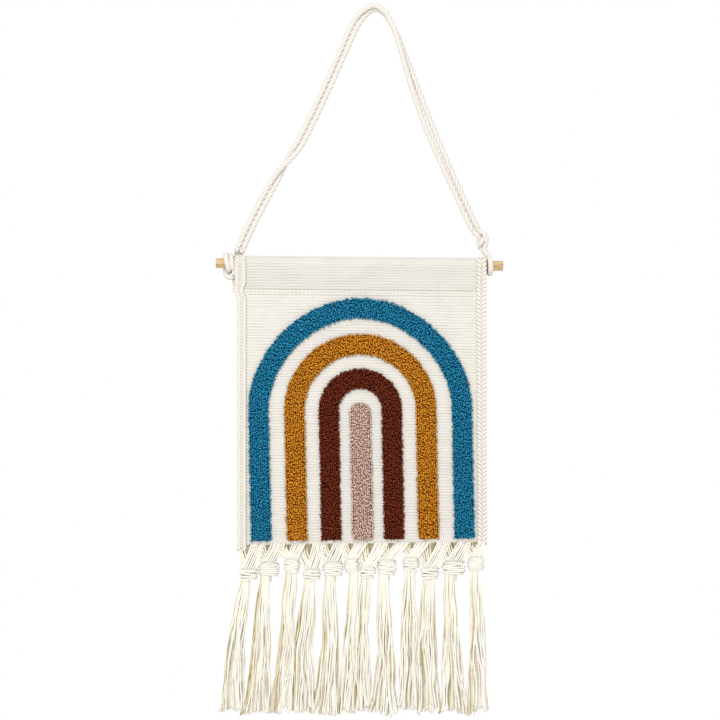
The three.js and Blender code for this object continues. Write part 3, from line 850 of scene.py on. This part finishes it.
def loop_shapes(settings, count, draw):
    """Loops of yarn: short arches, each bent its own way. They stand up along Z, in millimetres."""
    shapes = []
    radius = settings.loop_radius / MM
    foot = 0.9
    for _ in range(count):
        bm = bmesh.new()
        reach = draw.uniform(0.65, 1.15)
        bmesh.ops.create_circle(bm, segments=4, radius=radius)
        bmesh.ops.translate(bm, verts=bm.verts, vec=(reach, 0, 0))
        bmesh.ops.spin(
            bm, geom=bm.verts[:] + bm.edges[:], cent=(0, 0, 0), axis=(0, -1, 0),
            angle=math.pi, steps=4, use_merge=False, use_duplicate=False,
        )
        bmesh.ops.holes_fill(bm, edges=bm.edges[:], sides=4)
        rise = settings.loop_height / MM - foot - radius
        sway = draw.uniform(-0.5, 0.5)
        bend = draw.uniform(-0.45, 0.45)
        for vertex in bm.verts:
            z = vertex.co.z / reach
            vertex.co.y += sway * z + bend * (vertex.co.x / reach) ** 2
            vertex.co.z = vertex.co.z * rise / reach * 0.82 + foot
        shapes.append(shape_arrays(bm))
    return shapes


class HANGING_OT_pile(bpy.types.Operator):
    """Punches the nested arches and the middle bar in loops of coloured yarn"""

    bl_idname = "hanging.pile"
    bl_label = "Looped pile"

    def execute(self, context):
        settings = context.scene.hanging_pile
        draw = random.Random(31)
        shapes = loop_shapes(settings, 12, draw)
        for name, (outer, inner, drawn_in) in BANDS.items():
            middle, half = (outer + inner) / 2, (outer - inner) / 2

            def place(across, along):
                return arch_place(middle + across, along, drawn_in)

            self.band(settings, name, place, half, shapes, draw)
        self.band(settings, "pink", bar_place, PINK_BAR["half_width"] - 0.3, shapes, draw)
        return {"FINISHED"}

    def band(self, settings, name, place, half, shapes, draw):
        """One band: a dense ground of yarn feet with the loops standing on it. place gives the point so far
        across the band, at the share along it."""
        parts = [self.ground(place, half)]
        spacing = settings.loop_spacing / MM
        row_spacing = spacing * 0.9
        rows = round(2 * (half - 1.0) / row_spacing)
        rim = 1.2  # from the band's side to its outer rows
        stand = Matrix.Rotation(math.radians(90), 4, "X")
        for row in range(rows):
            across = lerp(-half + rim, half - rim, row / (rows - 1))
            outside = 1 if row == rows - 1 else -1 if row == 0 else 0
            count = round(place(across, 0.5)[2] / spacing)
            for n in range(count):
                along = (n + 0.5 + (row % 2 - 0.5) * 0.5 + draw.uniform(-0.28, 0.28)) / count
                off = draw.uniform(-0.4, 0.4) + outside * draw.uniform(-0.2, 0.4)
                x, z, _ = place(across, clamp01(along))
                beside_x, beside_z, _ = place(across + 0.5, clamp01(along))
                way = Vector((beside_x - x, beside_z - z))
                way = way.normalized() if way.length > 0.01 else Vector((1, 0))
                x += way.x * off
                z += way.y * off
                points, faces = draw.choice(shapes)
                turn = Matrix.Rotation(draw.uniform(0, 2 * math.pi), 4, "Z")
                tilt = Matrix.Rotation(math.radians(draw.uniform(-18, 18)), 4, "X")
                size = Matrix.Diagonal((MM, MM, MM * draw.uniform(0.88, 1.1), 1))
                foot = Matrix.Translation(at(x, fold(x, z) - CLOTH["half"] - GAP, z))
                rise = points[:, 2] / (settings.loop_height / MM)
                tint = np.full(len(points), draw.random())
                matrix = foot @ stand @ tilt @ turn @ size
                parts.append((moved(points, matrix), faces, {"rise": rise, "tint": tint}))
        finish = pile_finish(name + "_wool", getattr(settings, name + "_deep"), getattr(settings, name))
        piece = in_scene(name + "_loops", gathered(parts), finish)
        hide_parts("tuft_" + name)

    def ground(self, place, half):
        """The yarn feet between the loops: an uneven sheet that is thinner along its sides."""
        length = place(0.0, 0.5)[2]

        def lumpy(a, b):
            x, z, _ = place((a - 0.5) * 2 * (half - 1.4), b)
            rise = 1.7 + noise.noise(Vector((x * 0.4, z * 0.4, 3.0))) * 0.5
            if min(a, 1 - a) <= 0.01:
                rise = 1.0
            return at(x, fold(x, z) - CLOTH["half"] - GAP - rise, z), {}

        bm = bmesh.new()
        bm.from_mesh(sheet_mesh(8, round(length / 2.5), lumpy, 0.8 * MM))
        points, faces = shape_arrays(bm)
        # painted shade: the ground between the loops takes the deep colour all over
        return points, faces, {"rise": np.zeros(len(points)), "tint": np.full(len(points), 0.2)}


# The rod

class HANGING_OT_rod(bpy.types.Operator):
    """Turns the wooden rod that the panel hangs from"""

    bl_idname = "hanging.rod"
    bl_label = "Rod"

    def execute(self, context):
        settings = context.scene.hanging_rod
        radius = settings.diameter / 2
        length = ROD["length"] * MM
        bm = bmesh.new()
        bmesh.ops.create_cone(bm, cap_ends=True, segments=48, radius1=radius, radius2=radius, depth=length)
        rims = [edge for edge in bm.edges if abs(edge.verts[0].co.z - edge.verts[1].co.z) < 1e-6]
        bmesh.ops.bevel(
            bm, geom=rims, offset=0.5 * MM, segments=3, profile=0.5, affect="EDGES", material=-1,
            offset_type="OFFSET",
        )
        turn = Matrix.Rotation(math.radians(90), 4, "Y")
        slope = Matrix.Rotation(-math.atan(ROD["slope"]), 4, "Y")
        place = Matrix.Translation(at(ROD["middle_x"], 0, ROD["middle_z"]))
        bmesh.ops.transform(bm, matrix=place @ slope @ turn, verts=bm.verts)
        facing_out(bm)
        piece = in_scene("wooden_rod", mesh_of(bm), wood_finish(settings))
        faces = piece.data.polygons
        is_side = [len(face.vertices) < 10 for face in faces]  # the cut ends stay flat
        faces.foreach_set("use_smooth", is_side)
        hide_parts("dowel")
        return {"FINISHED"}


# The cord

def cord_points(side):
    """The middle line of one cord run, in metres."""
    points = []
    for i, (x, z, turn, spread) in enumerate(CORD_ROUTE):
        before = CORD_ROUTE[max(0, i - 1)]
        after = CORD_ROUTE[min(len(CORD_ROUTE) - 1, i + 1)]
        way = Vector((after[0] - before[0], after[1] - before[1])).normalized()
        outward = side * spread / 2 * math.cos(math.radians(turn))
        forward = side * spread / 2 * math.sin(math.radians(turn))
        points.append(at(x - way.y * outward, -forward, z + way.x * outward))
    return points


def lead_on(side, at_start):
    """Two points that lead straight on from the end of a run, the nearer one just clear of it."""
    line = smooth_line(cord_points(side), 1 * MM)
    end, near = (line[0], line[1]) if at_start else (line[-1], line[-2])
    way = (end - near).normalized()
    return [end + way * reach * MM for reach in (GAP, GAP + 2)]


def round_rod(stops, radius):
    """A turn of cord round the rod. Each stop: x, degrees round from the top towards the front."""
    ring = ROD["radius"] + 0.4 + radius
    points = []
    for (x0, a0), (x1, a1) in zip(stops, stops[1:]):
        parts = max(1, math.ceil((a1 - a0) / 12))
        points.extend((lerp(x0, x1, n / parts), lerp(a0, a1, n / parts)) for n in range(parts))
    points.append(stops[-1])
    return [
        at(x, -ring * math.sin(math.radians(a)), rod_z(x) + ring * math.cos(math.radians(a)))
        for x, a in points
    ]


class HANGING_OT_cord(bpy.types.Operator):
    """Lays the doubled hanging cord, and ties it to the rod with a hitch and a knot"""

    bl_idname = "hanging.cord"
    bl_label = "Cord and its knots"

    def execute(self, context):
        settings = context.scene.hanging_cord
        self.turn = settings.turn
        colours = settings.colour, settings.groove_shade, settings.warm_colour
        finish = yarn_finish("twisted_cord", *colours, fibre_scale=1700)
        plies, groove = 4, 0.18
        knots = []
        for name, node, routes in (
            ("rod_hitch", "hitch_left", self.hitch()), ("rod_knot", "knot_right", self.knot()),
        ):
            piece = in_scene(name, yarn_mesh(routes, plies, groove, 3), finish)
            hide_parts(node)
            knots.append(piece)
        radius = settings.diameter / 2 * 1.08  # more at the crowns, to make up for the grooves
        every = 6  # the declared path takes every sixth point of the line
        for name, side, knot in (("a", 1, knots[0]), ("b", -1, knots[1])):
            line = smooth_line(cord_points(side), 0.8 * MM)
            route = {"points": line, "radius": radius, "turn": self.turn, "tint": 0.3 + side * 0.1}
            mesh = yarn_mesh([route], plies, groove, 4)
            piece = in_scene("cord_run_" + name, mesh, finish)
            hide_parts("hanger_strand_" + name)
            path = line[::every] + ([line[-1]] if (len(line) - 1) % every else [])
            line_length(path)
        return {"FINISHED"}

    def route(self, points, radius, tint):
        line = smooth_line(points, 0.9 * MM)
        return {"points": line, "radius": radius * MM, "turn": self.turn, "tint": tint}

    def hitch(self):
        """Both runs go down behind the rod, with two turns round it, a low loop and the free tail."""
        def behind(side):
            start = lead_on(side, True)
            lag = 2.4 if start[0].x > CORD_ROUTE[0][0] * MM else -1.4  # to keep the two runs apart
            return [
                *start, at(-136.6 + lag, 5.2, -243.2), at(-138.4 + lag, 9.2, -247.4),
                at(-141.0 + lag / 2, 10.8, -252.4), at(-144.6, 8.2, -255.8),
            ]

        outer_turn = round_rod([
            (-148.6, -60), (-148.6, 0), (-147.9, 55), (-146.6, 100), (-145.4, 145), (-144.8, 200),
            (-145.4, 270),
        ], 2.8)
        inner_turn = round_rod([
            (-144.2, -60), (-143.8, 0), (-143.0, 45), (-142.4, 80), (-142.0, 110), (-141.6, 140),
        ], 2.5)
        low_loop = [
            at(-147.6, 7.0, -254.0), at(-149.2, 4.0, -259.5), at(-148.0, -0.5, -264.4),
            at(-144.8, -4.6, -266.8), at(-141.2, -7.0, -266.2),
        ]
        tail = [
            at(-141.8, -1.6, -264.0), at(-141.2, -1.4, -270.0), at(-140.8, -1.2, -276.5),
            at(-140.4, -1.0, -282.0),
        ]
        return [
            self.route(behind(1), 2.6, 0.2), self.route(behind(-1), 2.6, 0.4),
            self.route(outer_turn, 2.8, 0.1), self.route(inner_turn, 2.5, 0.6),
            self.route(low_loop, 2.8, 0.5), self.route(tail, 1.4, 0.9),
        ]

    def knot(self):
        """Both runs end in an overhand knot, whose neck leads down to a turn round the rod."""
        turn = round_rod([
            (114.6, -30), (114.6, 20), (115.7, 75), (115.9, 110), (115.3, 170), (115.1, 230), (115.0, 300),
            (114.8, 345),
        ], 2.4)
        neck = [at(108.6, -0.6, -238.0), at(111.0, -0.8, -242.0), at(114.2, -0.8, -246.2)]
        right_lobe = [
            at(104.4, -1.6, -221.6), at(108.6, -2.6, -222.4), at(111.3, -2.6, -227.6),
            at(110.9, -1.8, -234.0), at(108.2, 0, -239.6),
        ]
        left_lobe = [
            at(105.2, 2.2, -224.2), at(104.6, 2.0, -231.0), at(106.0, 0.8, -236.6), at(110.0, -0.4, -241.8),
        ]
        over_turn = [
            at(111.0, 1.0, -226.4), at(108.4, -4.6, -229.4), at(105.4, -4.4, -233.6),
            at(105.2, 1.4, -237.4),
        ]
        leads = [
            [*lead_on(side, False), at(x, side * -1.2, -225.2), at(107.0, 0, -230.0)]
            for side, x in ((1, 103.6), (-1, 106.4))
        ]
        return [
            self.route(neck, 3.0, 0.3), self.route(turn, 2.8, 0.1), self.route(right_lobe, 2.7, 0.2),
            self.route(left_lobe, 2.6, 0.5), self.route(over_turn, 2.2, 0.1),
            self.route(leads[0], 2.5, 0.4), self.route(leads[1], 2.5, 0.2),
        ]


# The tassels

class HANGING_OT_tassels(bpy.types.Operator):
    """Knots the warp yarns below the panel into twelve tassels"""

    bl_idname = "hanging.tassels"
    bl_label = "Tassels"

    # The layers of yarn below a knot: how far behind the middle, how many more yarns than the front has, how
    # many times as thick, tint. Painted shade: the tint warms the layers behind the front, and the thin yarns
    # are tan lines of painted shade between the front yarns.
    LAYERS = ((-3.2, 0, 1.0, 0.0), (-1.4, 0, 1.0, 0.6), (2.0, -2, 1.15, 0.4), (-3.4, -8, 0.5, 1.3))

    def execute(self, context):
        settings = context.scene.hanging_yarn
        colours = settings.colour, settings.groove_shade, settings.warm_colour
        finish = yarn_finish("cotton_yarn", *colours, fibre_scale=900, ply_depth=0.15)
        for number, row in enumerate(TASSELS):
            draw = random.Random(100 + number)
            routes = [*self.legs(settings, row, number, draw), *self.knot(settings, row, draw)]
            routes += self.hanging_yarns(settings, row, number, draw)
            name = f"yarn_tassel_{number + 1:02d}"
            piece = in_scene(name, yarn_mesh(routes, groove=0.08), finish)
            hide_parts(f"tassel_{number + 1:02d}")
        return {"FINISHED"}

    def legs(self, settings, row, number, draw):
        """The warp yarns from the panel's foot down into the knot: a ribbon from the left and a broader one
        from the right that lies over the neighbour's, more yarns in their shade, and more again behind."""
        form, x, z, width, height = row[:5]
        lane = (CLOTH["right"] - CLOTH["left"]) / len(TASSELS)
        middle = CLOTH["left"] + lane * (number + 0.5)
        reach = lane / 2 + 1.0
        neck_z = z + height * {"low": 0.3, "wide": 0.42, "barrel": 0.44}[form]
        half_depth = KNOT_FORMS[form]["depth"] / 2
        ribbons = (
            # how many; tops from, to; places at the neck from, to; how far in front; tint
            # painted shade: the left ribbon's tint, and the dark tan tint of the yarns in the ribbons' shade
            (6, -reach - 5.5, -4.5, -0.42, 0.14, -0.2, 0.75),
            (7, 3.6, reach + 4.6, -0.42, 0.38, 1.7, 0.0),
            (8, 1.0 - reach, reach - 1.0, -0.34, 0.34, -1.5, 2.3),
            (9, -reach, reach, -0.36, 0.36, -3.4, 0.2),
        )
        routes = []
        for count, first, last, end_first, end_last, front, tint in ribbons:
            for n in range(count):
                t = n / (count - 1)
                top = middle + lerp(first, last, t) + draw.uniform(-0.3, 0.3)
                top = min(max(top, CLOTH["left"] + 2.0), CLOTH["right"] - 1.5)
                top_z = foot_z(top) + draw.uniform(0.6, 1.8) + (1.4 if front > 1 else 0.0)
                face = fold(top, top_z) - CLOTH["half"] + (2.0 if front < -2 else 0.0)
                neck = x + lerp(end_first, end_last, t) * width * 0.9
                neck_y = 0.9 - half_depth - front
                tucked = -half_depth * 0.55 - front * 0.3  # under the knot's first turn
                bow = draw.uniform(-0.4, 0.4)
                points = [
                    at(top, face + 0.3, top_z),
                    at(lerp(top, neck, 0.1), face - 0.6 - max(0, front) * 0.6, lerp(top_z, neck_z, 0.18)),
                    at(lerp(top, neck, 0.5) + bow, lerp(face, neck_y, 0.6), lerp(top_z, neck_z, 0.56)),
                    at(lerp(top, neck, 0.84) + bow, lerp(face, neck_y, 0.9), lerp(top_z, neck_z, 0.86)),
                    at(neck, lerp(neck_y, tucked, 0.7), neck_z + 0.6),
                    at(lerp(neck, x, 0.15), tucked + 0.8, neck_z - 3.5),
                ]
                routes.append({
                    "points": smooth_line(points, 1.5 * MM), "radius": settings.diameter * 0.53,
                    "turn": 0.2, "tint": tint + draw.random() * 0.5,
                })
        return routes

    def knot(self, settings, row, draw):
        """Turns of yarn side by side round the bundle, a core, and on a wide knot the stub of an end."""
        form, x, z, width, height = row[:5]
        kind = KNOT_FORMS[form]
        radius = settings.diameter * 0.78
        top_share, foot_share = kind["span"]
        count = round(height * (top_share - foot_share) / 2 / 2.1)
        corners = 22
        routes = []
        for n in range(count):
            share = n / (count - 1)
            rise = lerp(top_share, foot_share, share)
            swell = math.sqrt(1 - 0.5 * rise * rise)
            tilt = math.radians(lerp(kind["top_tilt"], kind["foot_tilt"], share) + draw.uniform(-8, 8))
            half_width = width / 2 * swell + 1.1 - radius / MM
            half_depth = kind["depth"] / 2 * swell - radius / MM
            up = height / 2 * rise * 0.94
            points = []
            for i in range(corners):
                angle = 2 * math.pi * i / corners
                across = half_width * math.cos(angle)
                wave = 0.3 * math.sin(2 * angle + n)
                points.append(at(
                    x + across * math.cos(tilt) + up * math.sin(tilt) * 0.5,
                    half_depth * math.sin(angle),
                    z + up - across * math.sin(tilt) + wave,
                ))
            routes.append({
                "points": points, "radius": radius * draw.uniform(0.9, 1.2), "turn": 0.03,
                "tint": draw.random() * 0.3, "closed": True,
            })
        core = [at(x, 0, z + height * 0.42), at(x, 0, z), at(x, 0, z - height * 0.42)]
        core_radius = (min(width, kind["depth"]) / 2 - 1.9) * MM
        line = smooth_line(core, 2 * MM)
        routes.append({"points": line, "radius": core_radius, "turn": 0.05, "tint": 0.6})
        if form == "wide":
            end = x + width * 0.08
            stub = [
                at(end, -1.5, z - height * 0.36), at(end + 0.4, -2.6, z - height * 0.62),
                at(end + 0.5, -2.8, z - height * 0.82),
            ]
            line = smooth_line(stub, 1.2 * MM)
            routes.append({"points": line, "radius": 1.1 * MM, "turn": 0.01, "tint": 1.5})
        return routes

    def hanging_yarns(self, settings, row, number, draw):
        """The bundle below the knot, loose and a little wavy, to its cut tips."""
        form, x, z, width, height, *edges = row
        tip_z = edges[-1]
        radius = settings.diameter / 2
        kicks = 5.0 if form == "wide" else 1.5  # how far the leftmost tips turn out
        start_z = z - height * 0.3
        steps = 12
        routes = []
        for depth, extra, thick, tint in self.LAYERS:
            count = settings.front_count + extra
            for n in range(count):
                # the shares of the bundle's width at which the yarn starts and ends
                start_u = (n + 0.5) / count + draw.uniform(-0.06, 0.06)
                end_u = (n + 0.5) / count + draw.uniform(-0.1, 0.1)
                # painted shade: now and then a yarn is tinted golden, for the shade in a gap between yarns
                gap_shade = 0.8 if draw.random() < 0.13 else 0.0
                key = Vector((number * 7.3 + n * 1.7, depth * 3.1, 0.0))
                uneven = noise.noise(Vector((number * 3.7, end_u * 3.0, 0.5))) * 7
                foot = tip_z + 1.5 + uneven + draw.uniform(-1.2, 1.2)
                kick = kicks * clamp01(1.3 - end_u * 5)
                points = []
                for i in range(steps + 1):
                    t = i / steps
                    here = lerp(start_z, foot, t)
                    u = clamp01(lerp(start_u, end_u, t))
                    down = clamp01((start_z - here) / (start_z - MIDDLE_Z))
                    left, right = self.bundle_sides(edges, here, down)
                    base = lerp(left + radius / MM, right - radius / MM, u)
                    base = lerp(lerp(x, base, 0.8), base, clamp01(down * 4))
                    loose = min(1.0, t * 2.5)
                    sway = noise.noise(Vector((number * 5.1 + u * 2.2, depth, here * 0.021))) * 4.6 * loose
                    sway += noise.noise(key + Vector((9, 0, here * 0.036))) * 2.1 * loose
                    lean = noise.noise(key + Vector((0, 9, here * 0.02))) * 2.0 * loose
                    base = min(max(base + sway, left - 0.3), right + 0.3)
                    base -= kick * max(0.0, t - 0.9) * 10
                    points.append(at(base, depth * lerp(0.8, 1.0, t) + lean, here))
                line = smooth_line(points, 3.2 * MM)
                radii = [radius * thick * lerp(0.92, 1.04, i / (len(line) - 1)) for i in range(len(line))]
                radii[-1] *= 0.75
                shaded = clamp01(1.25 - start_u * 2.4) * 0.75  # the left side lies in the shade
                routes.append({
                    "points": line, "radius": radii, "turn": 0.12,
                    "tint": tint + draw.random() * 0.3 + shaded + gap_shade,
                })
        return routes

    def bundle_sides(self, edges, here, down):
        """The bundle's left and right side at that height, the share down from the knot to MIDDLE_Z."""
        neck_l, neck_r, mid_l, mid_r, tip_l, tip_r, tip_z = edges
        if here < MIDDLE_Z:
            below = clamp01((MIDDLE_Z - here) / (MIDDLE_Z - tip_z))
            return lerp(mid_l, tip_l, below), lerp(mid_r, tip_r, below)
        return lerp(neck_l, mid_l, down ** 1.15), lerp(neck_r, mid_r, down ** 1.15)


# The studio

class HANGING_OT_studio(bpy.types.Operator):
    """Sets the camera, a pale floor far below and soft light from the front"""

    bl_idname = "hanging.studio"
    bl_label = "Studio"

    def execute(self, context):
        settings = context.scene.hanging_studio
        scene = context.scene
        view = bpy.data.cameras.new("view")
        view.lens = 100
        view.sensor_width = 36
        view.clip_end = 50
        camera = bpy.data.objects.new("view", view)
        camera.location = (-0.0145, -2.0, -0.3495)
        camera.rotation_euler = (math.radians(90), 0, 0)
        scene.collection.objects.link(camera)
        scene.camera = camera

        bm = bmesh.new()
        bmesh.ops.create_circle(bm, cap_ends=True, segments=96, radius=3.0)
        bmesh.ops.translate(bm, verts=bm.verts, vec=(0, 0, -1.6))
        floor = bpy.data.objects.new("floor", mesh_of(bm))
        finish = Finish("pale_floor", {"Roughness": 0.8})
        cloud = finish.speckle(finish.places(), 3, 2)
        finish.feed("Base Color", finish.mix(cloud, colour(236, 235, 232), colour(244, 243, 241)))
        floor.data.materials.append(finish.material)
        scene.collection.objects.link(floor)

        world = bpy.data.worlds.new("studio")
        world.use_nodes = True
        background = world.node_tree.nodes["Background"]
        background.inputs["Color"].default_value = (1, 1, 1, 1)
        background.inputs["Strength"].default_value = settings.surround
        scene.world = world
        target = Vector((-0.0145, 0, -0.35))  # the middle of the hanging
        for name, place, size, power in (
            ("key_light", (-0.35, -1.7, 0.35), 0.8, settings.key),
            ("fill_light", (1.3, -1.6, 0.0), 1.4, settings.fill),
        ):
            lamp = bpy.data.lights.new(name, "AREA")
            lamp.size = size
            lamp.energy = power
            light = bpy.data.objects.new(name, lamp)
            light.location = place
            light.rotation_euler = (target - Vector(place)).to_track_quat("-Z", "Y").to_euler()
            scene.collection.objects.link(light)
        scene.view_settings.view_transform = "Standard"
        return {"FINISHED"}


# Settings, panel and registration

def length_setting(name, description, default):
    return FloatProperty(
        name=name, description=description, default=default, min=0.0, unit="LENGTH", precision=5,
    )


def colour_setting(name, description, *screen):
    return FloatVectorProperty(
        name=name, description=description, default=colour(*screen), size=4, min=0.0, max=1.0,
        subtype="COLOR",
    )


class ClothSettings(bpy.types.PropertyGroup):
    rib_pitch: length_setting("Rib pitch", "From one weft rib to the next on the panel", 0.00292)
    pocket_pitch: length_setting("Pocket pitch", "From one weft rib to the next on the rod pocket", 0.00285)
    rib_relief: length_setting("Rib relief", "How far the pocket's ribs stand up", 0.00016)
    colour: colour_setting("Cloth", "Colour on top of the ribs", 218, 214, 206)
    # painted shade: the groove colour stands for the shade between the ribs
    groove_shade: colour_setting("Groove", "Colour between the ribs", 158, 152, 139)
    pocket_colour: colour_setting("Pocket", "Greyer shade of the cloth near the rod", 192, 189, 182)
    thread_colour: colour_setting("Seam thread", "Colour of the pocket's stitches", 222, 217, 206)


class EdgingSettings(bpy.types.PropertyGroup):
    width: length_setting("Width", "How wide an edging is", 0.0106)
    colour: colour_setting("Yarn", "Colour on top of the stitches", 228, 224, 215)
    # painted shade: the groove colour stands for the shade between and beside the stitches
    groove_shade: colour_setting("Groove", "Colour between the stitches", 180, 173, 157)
    warm_colour: colour_setting("Warm yarn", "Colour of the warmer stitches", 216, 209, 194)


class PileSettings(bpy.types.PropertyGroup):
    loop_spacing: length_setting("Loop spacing", "From one loop to the next", 0.0019)
    loop_radius: length_setting("Yarn radius", "Half the thickness of the pile yarn", 0.0006)
    loop_height: length_setting("Loop height", "How far the loops stand up from the cloth", 0.0037)
    blue: colour_setting("Blue", "Crowns of the blue loops", 56, 172, 214)
    # painted shade: the deep colours stand for the shade between the loops
    blue_deep: colour_setting("Deep blue", "Between the blue loops", 0, 40, 66)
    mustard: colour_setting("Mustard", "Crowns of the mustard loops", 255, 182, 56)
    mustard_deep: colour_setting("Deep mustard", "Between the mustard loops", 100, 30, 0)
    brown: colour_setting("Brown", "Crowns of the brown loops", 146, 66, 40)
    brown_deep: colour_setting("Deep brown", "Between the brown loops", 30, 0, 0)
    pink: colour_setting("Pink", "Crowns of the pink loops", 255, 228, 212)
    pink_deep: colour_setting("Deep pink", "Between the pink loops", 130, 88, 76)


class RodSettings(bpy.types.PropertyGroup):
    diameter: length_setting("Diameter", "Thickness of the rod", 0.010)
    light_colour: colour_setting("Light wood", "Colour of the pale grain", 220, 194, 152)
    dark_colour: colour_setting("Dark wood", "Colour of the darker grain", 172, 134, 82)
    pore_colour: colour_setting("Pores", "Colour of the fine pores", 120, 82, 40)


class CordSettings(bpy.types.PropertyGroup):
    diameter: length_setting("Diameter", "Thickness of one cord run", 0.0052)
    turn: length_setting("Length of a turn", "The length in which the cord's plies turn once round", 0.023)
    colour: colour_setting("Cord", "Colour on top of the plies", 223, 219, 213)
    # painted shade: the groove colour stands for the shade between the plies
    groove_shade: colour_setting("Groove", "Colour between the plies", 186, 178, 166)
    warm_colour: colour_setting("Warm patches", "Colour of the warmer patches", 222, 214, 202)


class YarnSettings(bpy.types.PropertyGroup):
    diameter: length_setting("Diameter", "Thickness of a tassel's yarn", 0.0018)
    front_count: IntProperty(
        name="Yarns across", description="Yarns side by side in the front of a tassel",
        default=12, min=3, max=16,
    )
    colour: colour_setting("Yarn", "Colour on top of the plies", 234, 231, 222)
    # painted shade: the groove colour darkens the yarn between its plies, and the warm colour also carries the
    # shade of a bundle's shaded side and gaps
    groove_shade: colour_setting("Groove", "Colour between the plies", 206, 198, 174)
    warm_colour: colour_setting("Warm yarn", "Colour of the warmer yarns", 218, 211, 187)


class StudioSettings(bpy.types.PropertyGroup):
    key: FloatProperty(
        name="Key light", description="Power of the main light", default=16.5, min=0.0, unit="POWER",
    )
    fill: FloatProperty(
        name="Fill light", description="Power of the soft light", default=0.6, min=0.0, unit="POWER",
    )
    surround: FloatProperty(
        name="Surround", description="Brightness of the white surround", default=1.0, min=0.0,
    )


SETTINGS = {
    "hanging_cloth": ClothSettings,
    "hanging_edging": EdgingSettings,
    "hanging_pile": PileSettings,
    "hanging_rod": RodSettings,
    "hanging_cord": CordSettings,
    "hanging_yarn": YarnSettings,
    "hanging_studio": StudioSettings,
}
OPERATORS = (
    HANGING_OT_studio,
    HANGING_OT_cord,
    HANGING_OT_rod,
    HANGING_OT_cloth,
    HANGING_OT_edging,
    HANGING_OT_pile,
    HANGING_OT_tassels,
)


class HANGING_PT_panel(bpy.types.Panel):
    """The steps of making the hanging, with their settings"""

    bl_idname = "HANGING_PT_panel"
    bl_label = "Wall hanging"
    bl_space_type = "VIEW_3D"
    bl_region_type = "UI"
    bl_category = "Hanging"

    def draw(self, context):
        for operator in OPERATORS:
            self.layout.operator(operator.bl_idname)
        for name, group in SETTINGS.items():
            box = self.layout.box()
            for setting in group.__annotations__:
                box.prop(getattr(context.scene, name), setting)


def register():
    for name, group in SETTINGS.items():
        bpy.utils.register_class(group)
        setattr(bpy.types.Scene, name, PointerProperty(type=group))
    for shown in (*OPERATORS, HANGING_PT_panel):
        bpy.utils.register_class(shown)


def unregister():
    for shown in (HANGING_PT_panel, *reversed(OPERATORS)):
        bpy.utils.unregister_class(shown)
    for name, group in SETTINGS.items():
        delattr(bpy.types.Scene, name)
        bpy.utils.unregister_class(group)


def main():
    register()
    for operator in OPERATORS:
        group, step = operator.bl_idname.split(".")
        getattr(getattr(bpy.ops, group), step)()


if __name__ == "__main__":
    main()
